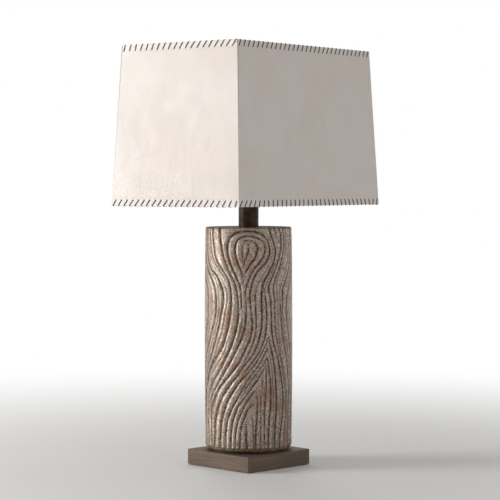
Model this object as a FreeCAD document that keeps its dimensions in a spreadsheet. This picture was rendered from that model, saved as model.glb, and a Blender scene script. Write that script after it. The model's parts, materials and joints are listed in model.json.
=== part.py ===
"""Column table lamp: square plinth, carved round column, laced rectangular shade on a harp.

Millimetres, +Z up. The origin is the centre of the base, on the table. The plinth is square
to X and Y. The cord inlet is in the +Y side. The shade is turned a little about the column.
"""

import FreeCAD, Part
import math
import os

import Sketcher

Vector = FreeCAD.Vector
Rotation = FreeCAD.Rotation
Placement = FreeCAD.Placement

doc = FreeCAD.newDocument("column_table_lamp")


# Driving sizes, each set by itself

SIZES = {
    # base
    "felt_side": 158.0,
    "felt_height": 1.5,
    "plinth_side": 164.0,
    "plinth_height": 28.5,
    "plinth_edge": 0.8,
    "recess_radius": 22.0,
    "recess_depth": 15.0,
    "inlet_radius": 5.5,
    "inlet_height": 9.0,
    "grommet_bore_radius": 3.6,
    "grommet_flange_radius": 8.0,
    "grommet_flange_height": 1.6,
    "grommet_length": 14.0,
    "foot_radius": 77.0,
    "foot_height": 5.0,
    # column
    "column_radius": 82.0,
    "column_height": 418.0,
    "column_wall": 8.0,
    "column_rim_round": 3.0,
    "carved_face_angle": 225.43,
    "groove_depth": 2.5,
    "groove_width": 4.4,
    "groove_clearance": 1.0,
    "groove_margin": 8.0,
    "end_disc_height": 10.0,
    # rod, neck and nuts
    "pipe_radius": 4.85,
    "pipe_bore_radius": 3.2,
    "pipe_hole_radius": 5.1,
    "pipe_below_nut": 3.0,
    "pipe_end_depth": 1.0,
    "washer_radius": 16.0,
    "washer_height": 2.0,
    "nut_across_flats": 14.0,
    "nut_height": 4.0,
    "neck_radius": 19.0,
    "neck_wall": 2.5,
    "neck_height": 50.0,
    "check_ring_radius": 14.0,
    "check_ring_height": 2.0,
    # harp
    "saddle_strip": 1.5,
    "saddle_width": 12.0,
    "saddle_half_span": 24.0,
    "saddle_shoulder": 6.0,
    "saddle_tab_width": 5.0,
    "saddle_tab_height": 13.0,
    "harp_wire_radius": 1.5,
    "harp_height": 251.4,
    "harp_half_width": 58.0,
    "harp_leg_height": 40.0,
    "harp_flare_height": 54.0,
    "harp_top_bend": 48.0,
    "harp_side_bend": 24.0,
    "sleeve_bore_radius": 3.7,
    "sleeve_wall": 0.8,
    "sleeve_height": 15.0,
    "stud_plate_radius": 8.0,
    "stud_plate_height": 2.0,
    "stud_radius": 3.15,
    "stud_height": 15.0,
    # socket
    "cap_collar_radius": 8.0,
    "cap_collar_height": 7.0,
    "cap_dome_height": 8.0,
    "cap_rim_height": 8.0,
    "cap_wall": 0.8,
    "shell_radius": 16.2,
    "shell_wall": 0.6,
    "shell_height": 44.0,
    "liner_wall": 0.7,
    "core_height": 16.0,
    "screw_shell_wall": 0.5,
    "screw_shell_height": 25.0,
    "screw_shell_lip": 3.0,
    "contact_rise": 3.0,
    "contact_strip": 0.6,
    "contact_width": 5.0,
    "contact_tail": 8.0,
    "contact_bend": 3.0,
    "contact_flat": 5.0,
    "terminal_radius": 2.8,
    "terminal_depth": 1.6,
    "terminal_sink": 0.5,
    "terminal_margin": 2.0,
    "switch_height": 9.0,
    "shaft_radius": 1.6,
    "shaft_inner_end": 1.0,
    "knob_standoff": 1.5,
    "knob_radius": 6.0,
    "knob_length": 11.0,
    "knob_end_wall": 2.0,
    "knob_flute_radius": 1.0,
    "knob_flute_stop": 2.0,
    # bulb
    "bulb_length": 108.0,
    "bulb_radius": 30.0,
    "bulb_neck_radius": 12.6,
    "bulb_neck_height": 36.0,
    "bulb_cap_radius": 13.1,
    "bulb_cap_height": 20.0,
    "bulb_neck_insert": 6.0,
    "bulb_flare_radius": 48.0,
    "bulb_flare_angle": 40.0,
    "bulb_insulator_step": 1.5,
    "bulb_wall": 0.7,
    "bulb_tip_radius": 4.5,
    "bulb_tip_height": 1.8,
    "bulb_insulator_height": 4.2,
    # shade
    "shade_turn_angle": 8.43,
    "shade_height": 295.7,
    "shade_bottom_width": 448.0,
    "shade_bottom_depth": 296.0,
    "shade_taper": 14.0,
    "hide_thickness": 1.2,
    "frame_wire_radius": 2.0,
    "frame_bend_radius": 7.0,
    "frame_inset": 3.2,
    "post_radius": 1.5,
    "spider_recess": 24.0,
    "spider_wire_radius": 1.5,
    "spider_bend_radius": 9.0,
    "hub_radius": 15.0,
    "hub_height": 2.0,
    "stitch_pitch": 13.4,
    "stitch_width": 2.0,
    "stitch_height": 12.0,
    "stitch_thickness": 0.7,
    "stitch_margin": 1.0,
    "side_stitch_lean": 4.0,
    "long_stitch_lean": 2.2,
    # finial
    "finial_collar_radius": 6.8,
    "finial_collar_height": 2.6,
    "finial_neck_radius": 5.0,
    "finial_ball_radius": 8.2,
    "finial_height": 21.5,
    # clearances
    "seat_gap": 0.05,
    "turn_gap": 0.1,
    "thread_gap": 0.3,
    "shaft_gap": 0.05,
    "drill_start": 2.0,
}

KNOB_FLUTES = 10

sizes = doc.addObject("Spreadsheet::Sheet", "sizes")
for row, (name, size) in enumerate(SIZES.items(), start=1):
    sizes.set(f"A{row}", name)
    sizes.set(f"B{row}", str(size))
    sizes.setAlias(f"B{row}", name)
doc.recompute()


# Heights and radii that follow from the driving sizes

DERIVED = {
    "plinth_bottom": "sizes.felt_height",
    "plinth_top": "levels.plinth_bottom + sizes.plinth_height",
    "recess_top": "levels.plinth_bottom + sizes.recess_depth",
    "inlet_level": "levels.plinth_bottom + sizes.inlet_height",
    "washer_bottom": "levels.recess_top - sizes.washer_height",
    "base_nut_bottom": "levels.washer_bottom - sizes.nut_height",
    "pipe_bottom": "levels.base_nut_bottom - sizes.pipe_below_nut",
    "column_bottom": "levels.plinth_top + sizes.foot_height",
    "column_top": "levels.column_bottom + sizes.column_height",
    "column_bore": "sizes.column_radius - sizes.column_wall",
    "neck_top": "levels.column_top + sizes.neck_height",
    "ring_top": "levels.neck_top + sizes.check_ring_height",
    "saddle_top": "levels.ring_top + sizes.saddle_strip",
    "shoulder_top": "levels.saddle_top + sizes.saddle_shoulder",
    "cap_bottom": "levels.saddle_top + sizes.nut_height",
    "collar_top": "levels.cap_bottom + sizes.cap_collar_height",
    "dome_top": "levels.collar_top + sizes.cap_dome_height",
    "cap_top": "levels.dome_top + sizes.cap_rim_height",
    "cap_radius": "sizes.shell_radius + sizes.cap_wall + sizes.seat_gap",
    "pipe_top": "levels.collar_top - sizes.pipe_end_depth",
    "shell_bottom": "levels.dome_top + sizes.cap_wall",
    "shell_top": "levels.shell_bottom + sizes.shell_height",
    "liner_radius": "sizes.shell_radius - sizes.shell_wall - sizes.seat_gap",
    "core_radius": "levels.liner_radius - sizes.liner_wall - sizes.seat_gap",
    "core_bottom": "levels.shell_bottom + sizes.cap_wall",
    "core_top": "levels.core_bottom + sizes.core_height",
    "switch_level": "levels.core_bottom + sizes.switch_height",
    "terminal_level": "levels.core_bottom + sizes.terminal_radius + sizes.terminal_margin",
    "knob_back": "levels.cap_radius + sizes.knob_standoff",
    "knob_front": "levels.knob_back + sizes.knob_length",
    "shaft_tip": "levels.knob_front - sizes.knob_end_wall",
    "contact_top": "levels.core_top + sizes.contact_rise + sizes.contact_strip",
    "bulb_bottom": "levels.contact_top + sizes.turn_gap",
    "bulb_tip_top": "levels.bulb_bottom + sizes.bulb_tip_height",
    "bulb_cap_bottom": "levels.bulb_tip_top + sizes.bulb_insulator_height",
    "bulb_cap_top": "levels.bulb_cap_bottom + sizes.bulb_cap_height",
    "bulb_neck_top": "levels.bulb_bottom + sizes.bulb_neck_height",
    "bulb_top": "levels.bulb_bottom + sizes.bulb_length",
    "bulb_middle": "levels.bulb_top - sizes.bulb_radius",
    "harp_foot": "levels.shoulder_top",
    "harp_top": "levels.harp_foot + sizes.harp_height",
    "harp_leg": "sizes.saddle_half_span + sizes.saddle_strip + sizes.harp_wire_radius"
                " + sizes.seat_gap",
    "stud_plate_top": "levels.harp_top + sizes.stud_plate_height",
    "stud_top": "levels.stud_plate_top + sizes.stud_height",
    "hub_bottom": "levels.stud_plate_top + sizes.turn_gap",
    "hub_top": "levels.hub_bottom + sizes.hub_height",
    "shade_top": "levels.hub_bottom + sizes.spider_recess",
    "shade_bottom": "levels.shade_top - sizes.shade_height",
    "finial_bottom": "levels.hub_top + sizes.turn_gap",
    "finial_top": "levels.finial_bottom + sizes.finial_height",
}

levels = doc.addObject("App::VarSet", "levels")
for name, formula in DERIVED.items():
    levels.addProperty("App::PropertyFloat", name, "Levels")
    levels.setExpression(name, formula)
doc.recompute()


def value(formula):
    """The number that a formula on the sheet gives."""
    return float(sizes.evalExpression(str(formula)))


pieces = []


def keep(piece):
    """Mark an object as a physical piece of the lamp."""
    pieces.append(piece)
    return piece


# Sketches and PartDesign bodies

def origin_plane(body, role):
    return next(item for item in body.Origin.OriginFeatures if item.Role == role)


def new_sketch(body, name, role, offset="0"):
    """A sketch on one of the body's own planes, lifted by offset along the plane's normal."""
    sketch = body.newObject("Sketcher::SketchObject", name)
    sketch.AttachmentSupport = (origin_plane(body, role), [""])
    sketch.MapMode = "FlatFace"
    sketch.setExpression("AttachmentOffset.Base.z", offset)
    return sketch


def draw_outline(sketch, corners):
    """A closed outline. A corner is (x, y), or (x, y, radius, side) where an arc leaves it.

    side is 1 where the arc's centre lies on the left of the way to the next corner."""
    spots = [Vector(value(corner[0]), value(corner[1]), 0) for corner in corners]
    count = len(corners)
    for index, corner in enumerate(corners):
        start = spots[index]
        end = spots[(index + 1) % count]
        if len(corner) == 2:
            sketch.addGeometry(Part.LineSegment(start, end), False)
        else:
            sketch.addGeometry(arc_between(start, end, value(corner[2]), corner[3]), False)
    for index, corner in enumerate(corners):
        is_arc_backwards = len(corner) == 4 and corner[3] < 0
        first = 2 if is_arc_backwards else 1
        last = 3 - first
        following = corners[(index + 1) % count]
        next_first = 2 if len(following) == 4 and following[3] < 0 else 1
        sketch.addConstraint(
            Sketcher.Constraint("Coincident", index, last, (index + 1) % count, next_first))
        hold_point(sketch, index, first, corner[0], corner[1])
        if len(corner) == 4:
            radius = Sketcher.Constraint("Radius", index, value(corner[2]))
            sketch.setExpression(f"Constraints[{sketch.addConstraint(radius)}]", str(corner[2]))


def arc_between(start, end, radius, side):
    """The shorter arc from start to end, as a counter-clockwise arc of a circle."""
    chord = end - start
    half = chord.Length / 2
    left = Vector(-chord.y, chord.x, 0).normalize()
    rise = math.sqrt(max(radius * radius - half * half, 0))
    centre = (start + end) * 0.5 + left * (side * rise)
    angles = [math.atan2(spot.y - centre.y, spot.x - centre.x) for spot in (start, end)]
    if side < 0:
        angles.reverse()
    circle = Part.Circle(centre, Vector(0, 0, 1), radius)
    return Part.ArcOfCircle(circle, angles[0], angles[1])


def hold_point(sketch, index, end, across, up):
    """Tie one end of a line or arc to two formulas."""
    for kind, axis, formula in (("DistanceX", -2, across), ("DistanceY", -1, up)):
        number = value(formula)
        if abs(number) < 1e-9:
            sketch.addConstraint(Sketcher.Constraint("PointOnObject", index, end, axis))
            continue
        placed = Sketcher.Constraint(kind, -1, 1, index, end, number)
        sketch.setExpression(f"Constraints[{sketch.addConstraint(placed)}]", str(formula))


def draw_circle(sketch, across, up, radius):
    circle = Part.Circle(Vector(value(across), value(up), 0), Vector(0, 0, 1), value(radius))
    index = sketch.addGeometry(circle, False)
    hold_point(sketch, index, 3, across, up)
    size = Sketcher.Constraint("Radius", index, value(radius))
    sketch.setExpression(f"Constraints[{sketch.addConstraint(size)}]", str(radius))


def turned(label, outline):
    """A piece turned about Z, from an outline of (radius, height) corners."""
    body = doc.addObject("PartDesign::Body", label)
    sketch = new_sketch(body, label + "_outline", "XZ_Plane")
    draw_outline(sketch, outline)
    turning = body.newObject("PartDesign::Revolution", label + "_turned")
    turning.Profile = (sketch, [""])
    turning.ReferenceAxis = (sketch, ["V_Axis"])
    turning.Angle = 360
    body.Tip = turning
    doc.recompute()
    return body


def ring(label, outer, inner, bottom, top):
    """A plain ring or tube."""
    return keep(turned(label, [(inner, bottom), (outer, bottom), (outer, top), (inner, top)]))


def disc(label, radius, bottom, top):
    return keep(turned(label, [("0", bottom), (radius, bottom), (radius, top), ("0", top)]))


def pad(body, name, role, outline, offset, length, both_ways=False):
    """Pad a closed outline on one of the body's planes."""
    sketch = new_sketch(body, name + "_outline", role, offset)
    draw_outline(sketch, outline)
    feature = body.newObject("PartDesign::Pad", name)
    feature.Profile = (sketch, [""])
    feature.setExpression("Length", length)
    if both_ways:
        feature.SideType = "Symmetric"
    body.Tip = feature
    doc.recompute()
    return feature


def cut(body, name, sketch, length=None):
    """Cut away from the sketch, against its normal, or right through both ways."""
    feature = body.newObject("PartDesign::Pocket", name)
    feature.Profile = (sketch, [""])
    if length is None:
        feature.Type = "ThroughAll"
        feature.SideType = "Symmetric"
    else:
        feature.setExpression("Length", length)
    body.Tip = feature
    doc.recompute()
    return feature


def drill(body, name, role, across, up, radius, offset="0", length=None):
    """A round hole, from the lifted plane against its normal."""
    sketch = new_sketch(body, name + "_outline", role, offset)
    draw_circle(sketch, across, up, radius)
    return cut(body, name, sketch, length)


def rectangle(half_width, half_depth):
    return [(f"-({half_width})", f"-({half_depth})"), (half_width, f"-({half_depth})"),
            (half_width, half_depth), (f"-({half_width})", half_depth)]


def soften(body, name, kind, size, picks):
    """A fillet or chamfer on the edges whose middle point picks accepts."""
    base = body.Tip
    edges = []
    for number, edge in enumerate(base.Shape.Edges, start=1):
        middle = edge.valueAt((edge.FirstParameter + edge.LastParameter) / 2)
        if picks(middle):
            edges.append(f"Edge{number}")
    feature = body.newObject("PartDesign::" + kind, name)
    feature.Base = (base, edges)
    feature.setExpression("Radius" if kind == "Fillet" else "Size", size)
    body.Tip = feature
    doc.recompute()
    return feature


def near(first, second):
    return abs(first - second) < 1e-4


def hex_nut(label, bottom, height):
    """A hexagon nut on the threaded pipe."""
    blank = doc.addObject("Part::Prism", label + "_blank")
    blank.Polygon = 6
    blank.setExpression("Circumradius", "sizes.nut_across_flats / 2 / cos(30 deg)")
    blank.setExpression("Height", height)
    blank.setExpression("Placement.Base.z", bottom)
    hole = doc.addObject("Part::Cylinder", label + "_hole")
    hole.setExpression("Radius", "sizes.pipe_radius + sizes.seat_gap")
    hole.setExpression("Height", height)
    hole.setExpression("Placement.Base.z", bottom)
    nut = doc.addObject("Part::Cut", label)
    nut.Base = blank
    nut.Tool = hole
    return keep(nut)


def shaped_piece(label, shape):
    """A piece whose shape is made straight from the sizes."""
    piece = doc.addObject("Part::Feature", label)
    piece.Shape = shape
    return keep(piece)


# Bent rods

def rounded_route(points, bends, closed):
    """A wire of straight runs joined by tangent arcs, one bend radius per inner point."""
    count = len(points)
    inner = range(count) if closed else range(1, count - 1)
    trims = {}
    for index in inner:
        before = (points[index] - points[index - 1]).normalize()
        after = (points[(index + 1) % count] - points[index]).normalize()
        turn = before.getAngle(after)
        reach = bends[index] * math.tan(turn / 2)
        bow = bends[index] * (1 / math.cos(turn / 2) - 1)
        inward = (after - before).normalize()
        trims[index] = (points[index] - before * reach, points[index] + inward * bow,
                        points[index] + after * reach)
    edges = []
    runs = range(count) if closed else range(count - 1)
    for index in runs:
        following = (index + 1) % count
        start = trims[index][2] if index in trims else points[index]
        end = trims[following][0] if following in trims else points[following]
        edges.append(Part.LineSegment(start, end).toShape())
        if following in trims:
            edges.append(Part.Arc(*trims[following]).toShape())
    return Part.Wire(edges)


def bent_rod(points, bends, radius, closed=False):
    """A round rod along a rounded route."""
    route = rounded_route(points, bends, closed)
    first = route.Edges[0]
    start = first.valueAt(first.FirstParameter)
    along = first.tangentAt(first.FirstParameter)
    section = Part.Wire([Part.makeCircle(radius, start, along)])
    return route.makePipeShell([section], True, False)


# Base

def make_felt():
    body = keep(doc.addObject("PartDesign::Body", "base_felt"))
    pad(body, "felt_sheet", "XY_Plane", rectangle("sizes.felt_side / 2", "sizes.felt_side / 2"),
        "0", "sizes.felt_height")


def make_plinth():
    body = keep(doc.addObject("PartDesign::Body", "plinth"))
    half = "sizes.plinth_side / 2"
    pad(body, "plinth_block", "XY_Plane", rectangle(half, half), "levels.plinth_bottom",
        "sizes.plinth_height")
    side = value(half)
    bottom = value("levels.plinth_bottom")
    soften(body, "plinth_edges", "Fillet", "sizes.plinth_edge",
           lambda spot: not near(spot.z, bottom)
           and (near(abs(spot.x), side) or near(abs(spot.y), side)))
    drill(body, "pipe_hole", "XY_Plane", "0", "0", "sizes.pipe_hole_radius",
          "levels.plinth_top", "sizes.plinth_height")
    drill(body, "nut_recess", "XY_Plane", "0", "0", "sizes.recess_radius",
          "levels.recess_top", "sizes.recess_depth")
    drill(body, "cord_inlet", "XZ_Plane", "0", "levels.inlet_level", "sizes.inlet_radius",
          "0", half)


def make_grommet():
    """A flanged bush in the cord inlet, turned about Z and laid along Y."""
    bore = "sizes.grommet_bore_radius"
    flange = "sizes.grommet_flange_radius"
    barrel = "sizes.inlet_radius - sizes.seat_gap"
    rim = "sizes.grommet_flange_height"
    outline = [(bore, rim), (bore, "-sizes.grommet_length"), (barrel, "-sizes.grommet_length"),
               (barrel, "0"), (flange, "0"), (flange, rim)]
    body = keep(turned("cord_grommet", outline))
    body.setExpression("Placement.Base.y", "sizes.plinth_side / 2")
    body.setExpression("Placement.Base.z", "levels.inlet_level")
    body.Placement.Rotation = Rotation(Vector(1, 0, 0), -90)


def make_base_hardware():
    ring("plinth_washer", "sizes.washer_radius", "sizes.pipe_hole_radius",
         "levels.washer_bottom", "levels.recess_top")
    hex_nut("plinth_nut", "levels.base_nut_bottom", "sizes.nut_height")
    ring("foot_disc", "sizes.foot_radius", "sizes.pipe_hole_radius",
         "levels.plinth_top", "levels.column_bottom")
    ring("lamp_pipe", "sizes.pipe_radius", "sizes.pipe_bore_radius",
         "levels.pipe_bottom", "levels.pipe_top")


# Carving

# The main grooves. A point is (degrees round from the middle of the carved face, height above
# the table on a lamp whose column goes from CARVING_FOOT to CARVING_TOP).
CARVING_FOOT = 35.0
CARVING_TOP = 453.0
FAR_SWING = 4.0
FAR_DROP = 13.0
FREE_END_SHARE = 0.35

GROOVES = {
    "knot_slit": [(-5.8, 386), (-7.8, 402), (-7.6, 412)],
    "knot_core": [(-8.6, 424), (-4, 429), (3, 429.5), (9, 424), (11.5, 413), (9.2, 399),
                  (3.2, 387), (-2.6, 374)],
    "knot_inner": [(-6.8, 356), (-10.1, 373.5), (-14.6, 390), (-17.8, 407), (-17.6, 418),
                   (-14, 430), (-8, 436), (0, 437.5), (8, 436), (16, 431), (21.5, 422),
                   (22.3, 411), (19.5, 398), (14.6, 388), (7.6, 376), (2.3, 363),
                   (-1.2, 348.5), (-3.8, 335), (-4.4, 320), (-2.8, 297), (-4.6, 266),
                   (-9, 246), (-15.7, 226), (-23.1, 205.5), (-31, 188), (-40.8, 167),
                   (-50, 149), (-57.5, 134), (-62, 123)],
    "knot_outer": [(-10.4, 263), (-8.6, 279), (-8.9, 300), (-9.4, 322), (-11.5, 345),
                   (-15.7, 360), (-21, 375), (-26.2, 392), (-28.8, 408), (-28.2, 424),
                   (-24, 436), (-16.9, 443), (-8, 446), (4, 446.5), (13, 443.5), (21, 437),
                   (26, 426), (28.8, 413), (28, 401), (23, 388), (12, 373), (7, 360),
                   (4, 348), (1.8, 328), (2.9, 305), (4.9, 275), (2.4, 246), (-3.5, 227),
                   (-9.6, 207.5), (-17.5, 191.5), (-29.7, 171), (-40.3, 155.5),
                   (-48.7, 137.6), (-55, 122), (-59.4, 107), (-60, 95), (-58.8, 80),
                   (-58.7, 42)],
    "left_of_knot": [(-42, 456), (-40.6, 432), (-37.3, 410), (-32, 390), (-18, 350),
                     (-14.5, 331), (-13.4, 306), (-14, 280), (-17.6, 256), (-22.5, 234),
                     (-34.7, 200), (-44.2, 180), (-54, 163), (-61.5, 146), (-66.4, 130),
                     (-68, 100), (-67.4, 72), (-67.5, 42)],
    "left_inner": [(-56.4, 456), (-55.9, 435), (-53, 413.5), (-48.9, 395), (-40, 378.5),
                   (-30.8, 363.5), (-25, 346), (-22.8, 325), (-26.5, 273), (-30.6, 252),
                   (-36.7, 229), (-46, 212.5), (-54.1, 198.5), (-61, 186), (-66, 170),
                   (-68.8, 152)],
    "left_outer": [(-73, 456), (-71.5, 416), (-67, 390), (-58, 373), (-48, 364),
                   (-40.2, 348.5), (-35.3, 330), (-35.4, 311), (-42.5, 268.5),
                   (-52, 235), (-62, 203), (-69, 184), (-74, 160), (-76.2, 125), (-76.5, 42)],
    "left_side": [(-81, 456), (-79.5, 410), (-76, 388), (-69, 372), (-58.8, 357), (-50, 334),
                  (-47.8, 310), (-50, 283), (-54.1, 267), (-69, 224), (-76.5, 203),
                  (-81, 176), (-83, 140), (-83.5, 42)],
    "left_seam": [(-86, 378), (-79, 358), (-71, 343), (-67.6, 322), (-67, 292), (-70, 270),
                  (-76, 252), (-82.5, 234)],
    "under_knot": [(24, 375), (16, 358), (11, 343), (8.4, 328), (8.8, 305), (9.5, 266),
                   (7, 245), (2.2, 226), (-1.4, 215)],
    "right_of_knot": [(26.6, 456), (31, 440), (36.9, 418), (38.2, 407), (36, 392),
                      (24, 361), (19.5, 349), (17.6, 335), (18.2, 285), (17, 266),
                      (13.6, 243), (8.6, 224.5), (2, 210), (-6.5, 194.5),
                      (-14, 177.5), (-28.6, 151.5), (-37.6, 134.5), (-48.2, 99.5),
                      (-50.9, 84), (-51.4, 65), (-53, 42)],
    "right_inner": [(42, 456), (47, 443), (48.5, 432), (48.6, 416), (45, 398), (34, 364),
                    (29, 350), (27.5, 335), (31.4, 292), (32, 266), (34.3, 238.5),
                    (48.2, 175), (51.2, 152), (52.8, 128), (52, 107), (46.6, 60), (46, 42)],
    "right_middle": [(58, 456), (59, 432), (57.6, 412), (53, 393), (42, 361), (39.2, 345),
                     (40.6, 326), (43, 270), (45.4, 234), (49.6, 203), (60, 138),
                     (61.6, 104), (59.6, 70), (58.6, 42)],
    "right_outer": [(73, 456), (73.5, 420), (71, 392), (65, 370), (57, 352), (51, 337),
                    (50, 292), (54, 262), (65.5, 205), (70, 165), (71.2, 120), (69.6, 42)],
    "right_side": [(80, 456), (81, 415), (78, 380), (63.5, 330), (59.2, 305), (62, 270),
                   (74, 200), (77, 150), (76.6, 95), (75, 42)],
    "right_seam": [(85, 360), (78, 330), (70, 302), (70.5, 270), (77, 234), (82, 190),
                   (83.4, 130), (81.5, 42)],
    "arch_outer_left": [(26.8, 249), (23.6, 236), (15, 214), (6.5, 195), (-2.5, 179.5),
                        (-12.2, 165), (-21.2, 146.7),
                        (-33.2, 112), (-37.2, 96), (-39.6, 79), (-41.5, 42)],
    "arch_outer_right": [(29, 235), (32.7, 217), (35.4, 199), (38.4, 162), (39.6, 135),
                         (39.6, 110), (37.4, 60), (37, 42)],
    "arch_middle_left": [(24.5, 209), (19.4, 198), (6.2, 174.5), (0.2, 163), (-8.6, 141)],
    "arch_middle_right": [(26.7, 197), (27.8, 180), (30.6, 146), (30.4, 124), (27.4, 80),
                          (26.8, 42)],
    "arch_inner_left": [(19.4, 187.5), (5.8, 158), (-6.5, 133.5), (-13.8, 119), (-22, 83),
                        (-23.4, 62), (-23.8, 42)],
    "arch_inner_right": [(23.6, 178), (23.4, 158), (21, 105), (21.4, 42)],
    "heart_left": [(14.6, 158), (3, 140), (-2, 130), (-12.6, 97), (-17.2, 62), (-17.4, 42)],
    "heart_middle": [(-3.1, 88), (-3.5, 70), (-1.9, 42)],
    "heart_right": [(10.9, 140), (11.9, 115), (9.8, 70), (9.6, 42)],
}


def far_point(point):
    """The same point on the far half: the carving's mirror image, lower and a little swung."""
    angle, level = point
    drift = math.sin(math.pi * (level - CARVING_FOOT) / (CARVING_TOP - CARVING_FOOT))
    swing = FAR_SWING * math.sin(math.radians(2 * angle)) * drift
    return (180 - angle - swing, level - FAR_DROP * drift * math.cos(math.radians(angle)))


def groove_spot(point):
    """Where a groove's point is on the column's surface."""
    share = (point[1] - CARVING_FOOT) / (CARVING_TOP - CARVING_FOOT)
    turn = math.radians(value("sizes.carved_face_angle") + point[0])
    radius = value("sizes.column_radius")
    return Vector(radius * math.cos(turn), radius * math.sin(turn),
                  value("levels.column_bottom") + share * value("sizes.column_height"))


def groove_cutter(points):
    """A V-shaped run along the column's surface, shallow where it ends within the carving."""
    spots = [groove_spot(point) for point in points]
    last = len(spots) - 1
    low = value("levels.column_bottom + sizes.groove_margin")
    high = value("levels.column_top")
    over = value("sizes.groove_clearance")
    sections = []
    for index, spot in enumerate(spots):
        free_end = index in (0, last) and low < spot.z < high
        share = FREE_END_SHARE if free_end else 1
        depth = value("sizes.groove_depth") * share
        half = value("sizes.groove_width / 2") * share * (depth + over) / depth
        out = Vector(spot.x, spot.y, 0).normalize()
        along = spots[min(index + 1, last)] - spots[max(index - 1, 0)]
        side = along.cross(out).normalize()
        top = spot + out * over
        bottom = spot - out * depth
        sections.append(Part.makePolygon([bottom, top + side * half, top - side * half, bottom]))
    return Part.makeLoft(sections, True, True)


def make_carving():
    """Cutters for the main grooves of the carved face and of the far half."""
    lines = [line for points in GROOVES.values()
             for line in (points, [far_point(point) for point in points])]
    carving = doc.addObject("Part::Feature", "column_carving")
    carving.Shape = Part.Compound([groove_cutter(line) for line in lines])
    return carving


# Column and neck

def make_column():
    outer = "sizes.column_radius"
    bore = "levels.column_bore"
    bottom = "levels.column_bottom"
    top = "levels.column_top"
    blank = turned("column_blank", [(bore, bottom), (outer, bottom), (outer, top), (bore, top)])
    radius = value(outer)
    soften(blank, "column_rims", "Fillet", "sizes.column_rim_round",
           lambda spot: near(math.hypot(spot.x, spot.y), radius)
           and (near(spot.z, value(bottom)) or near(spot.z, value(top))))
    shell = keep(doc.addObject("Part::Cut", "column_shell"))
    shell.Refine = False
    shell.Base = blank
    shell.Tool = make_carving()
    fitted = "levels.column_bore - sizes.seat_gap"
    hole = "sizes.pipe_hole_radius"
    ring("column_bottom_disc", fitted, hole, bottom, f"{bottom} + sizes.end_disc_height")
    ring("column_top_disc", fitted, hole, f"{top} - sizes.end_disc_height", top)


def make_neck():
    outer = "sizes.neck_radius"
    inner = "sizes.neck_radius - sizes.neck_wall"
    hole = "sizes.pipe_hole_radius"
    roof = "levels.neck_top - sizes.neck_wall"
    outline = [(inner, "levels.column_top"), (outer, "levels.column_top"),
               (outer, "levels.neck_top"), (hole, "levels.neck_top"), (hole, roof), (inner, roof)]
    keep(turned("neck_sleeve", outline))
    ring("neck_check_ring", "sizes.check_ring_radius", hole, "levels.neck_top",
         "levels.ring_top")


# Harp

def make_saddle():
    """A strip bent up at both ends, with shoulders that carry the harp's legs and sleeves."""
    body = keep(doc.addObject("PartDesign::Body", "harp_saddle"))
    out = "sizes.saddle_half_span + sizes.saddle_strip"
    profile = [(f"-({out})", "levels.ring_top"), (out, "levels.ring_top"),
               (out, "levels.shoulder_top"), ("sizes.saddle_half_span", "levels.shoulder_top"),
               ("sizes.saddle_half_span", "levels.saddle_top"),
               ("-sizes.saddle_half_span", "levels.saddle_top"),
               ("-sizes.saddle_half_span", "levels.shoulder_top"),
               (f"-({out})", "levels.shoulder_top")]
    pad(body, "saddle_strap", "XZ_Plane", profile, "0", "sizes.saddle_width", True)
    for name, side in (("tab_right", ""), ("tab_left", "-")):
        near_x = f"{side}sizes.saddle_half_span"
        far_x = f"{side}({out})"
        top = "levels.shoulder_top + sizes.saddle_tab_height"
        tab = [(near_x, "levels.shoulder_top"), (far_x, "levels.shoulder_top"),
               (far_x, top), (near_x, top)]
        pad(body, name, "XZ_Plane", tab, "0", "sizes.saddle_tab_width", True)
        ledge_name = name.replace("tab", "ledge")
        ledge_out = f"{side}({out} + 2 * sizes.harp_wire_radius + sizes.seat_gap)"
        ledge_low = "levels.shoulder_top - sizes.saddle_strip"
        ledge = [(far_x, ledge_low), (ledge_out, ledge_low),
                 (ledge_out, "levels.shoulder_top"), (far_x, "levels.shoulder_top")]
        pad(body, ledge_name, "XZ_Plane", ledge, "0", "sizes.saddle_tab_width", True)
    drill(body, "pipe_hole", "XY_Plane", "0", "0", "sizes.pipe_hole_radius")
    hex_nut("saddle_nut", "levels.saddle_top", "sizes.nut_height")


def make_harp():
    radius = value("sizes.harp_wire_radius")
    leg = value("levels.harp_leg")
    foot = value("levels.harp_foot + sizes.seat_gap")
    knee = foot + value("sizes.harp_leg_height")
    hip = knee + value("sizes.harp_flare_height")
    wide = value("sizes.harp_half_width")
    crown = value("levels.harp_top") - radius
    side = value("sizes.harp_side_bend")
    top = value("sizes.harp_top_bend")
    points = [Vector(leg, 0, foot), Vector(leg, 0, knee), Vector(wide, 0, hip),
              Vector(wide, 0, crown), Vector(-wide, 0, crown), Vector(-wide, 0, hip),
              Vector(-leg, 0, knee), Vector(-leg, 0, foot)]
    bends = [0, side, side, top, top, side, side, 0]
    shaped_piece("harp_bow", bent_rod(points, bends, radius))

    plate = "sizes.stud_plate_radius"
    stud = "sizes.stud_radius"
    outline = [("0", "levels.harp_top"), (plate, "levels.harp_top"),
               (plate, "levels.stud_plate_top"), (stud, "levels.stud_plate_top"),
               (stud, "levels.stud_top"), ("0", "levels.stud_top")]
    keep(turned("harp_stud", outline))

    middle = "sizes.saddle_half_span + sizes.saddle_strip"
    for name, sign in (("harp_sleeve_right", ""), ("harp_sleeve_left", "-")):
        outer = "sizes.sleeve_bore_radius + sizes.sleeve_wall"
        bottom = "levels.shoulder_top + sizes.turn_gap"
        top = f"{bottom} + sizes.sleeve_height"
        body = ring(name, outer, "sizes.sleeve_bore_radius", bottom, top)
        body.setExpression("Placement.Base.x", f"{sign}({middle})")


# Socket and switch

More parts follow.
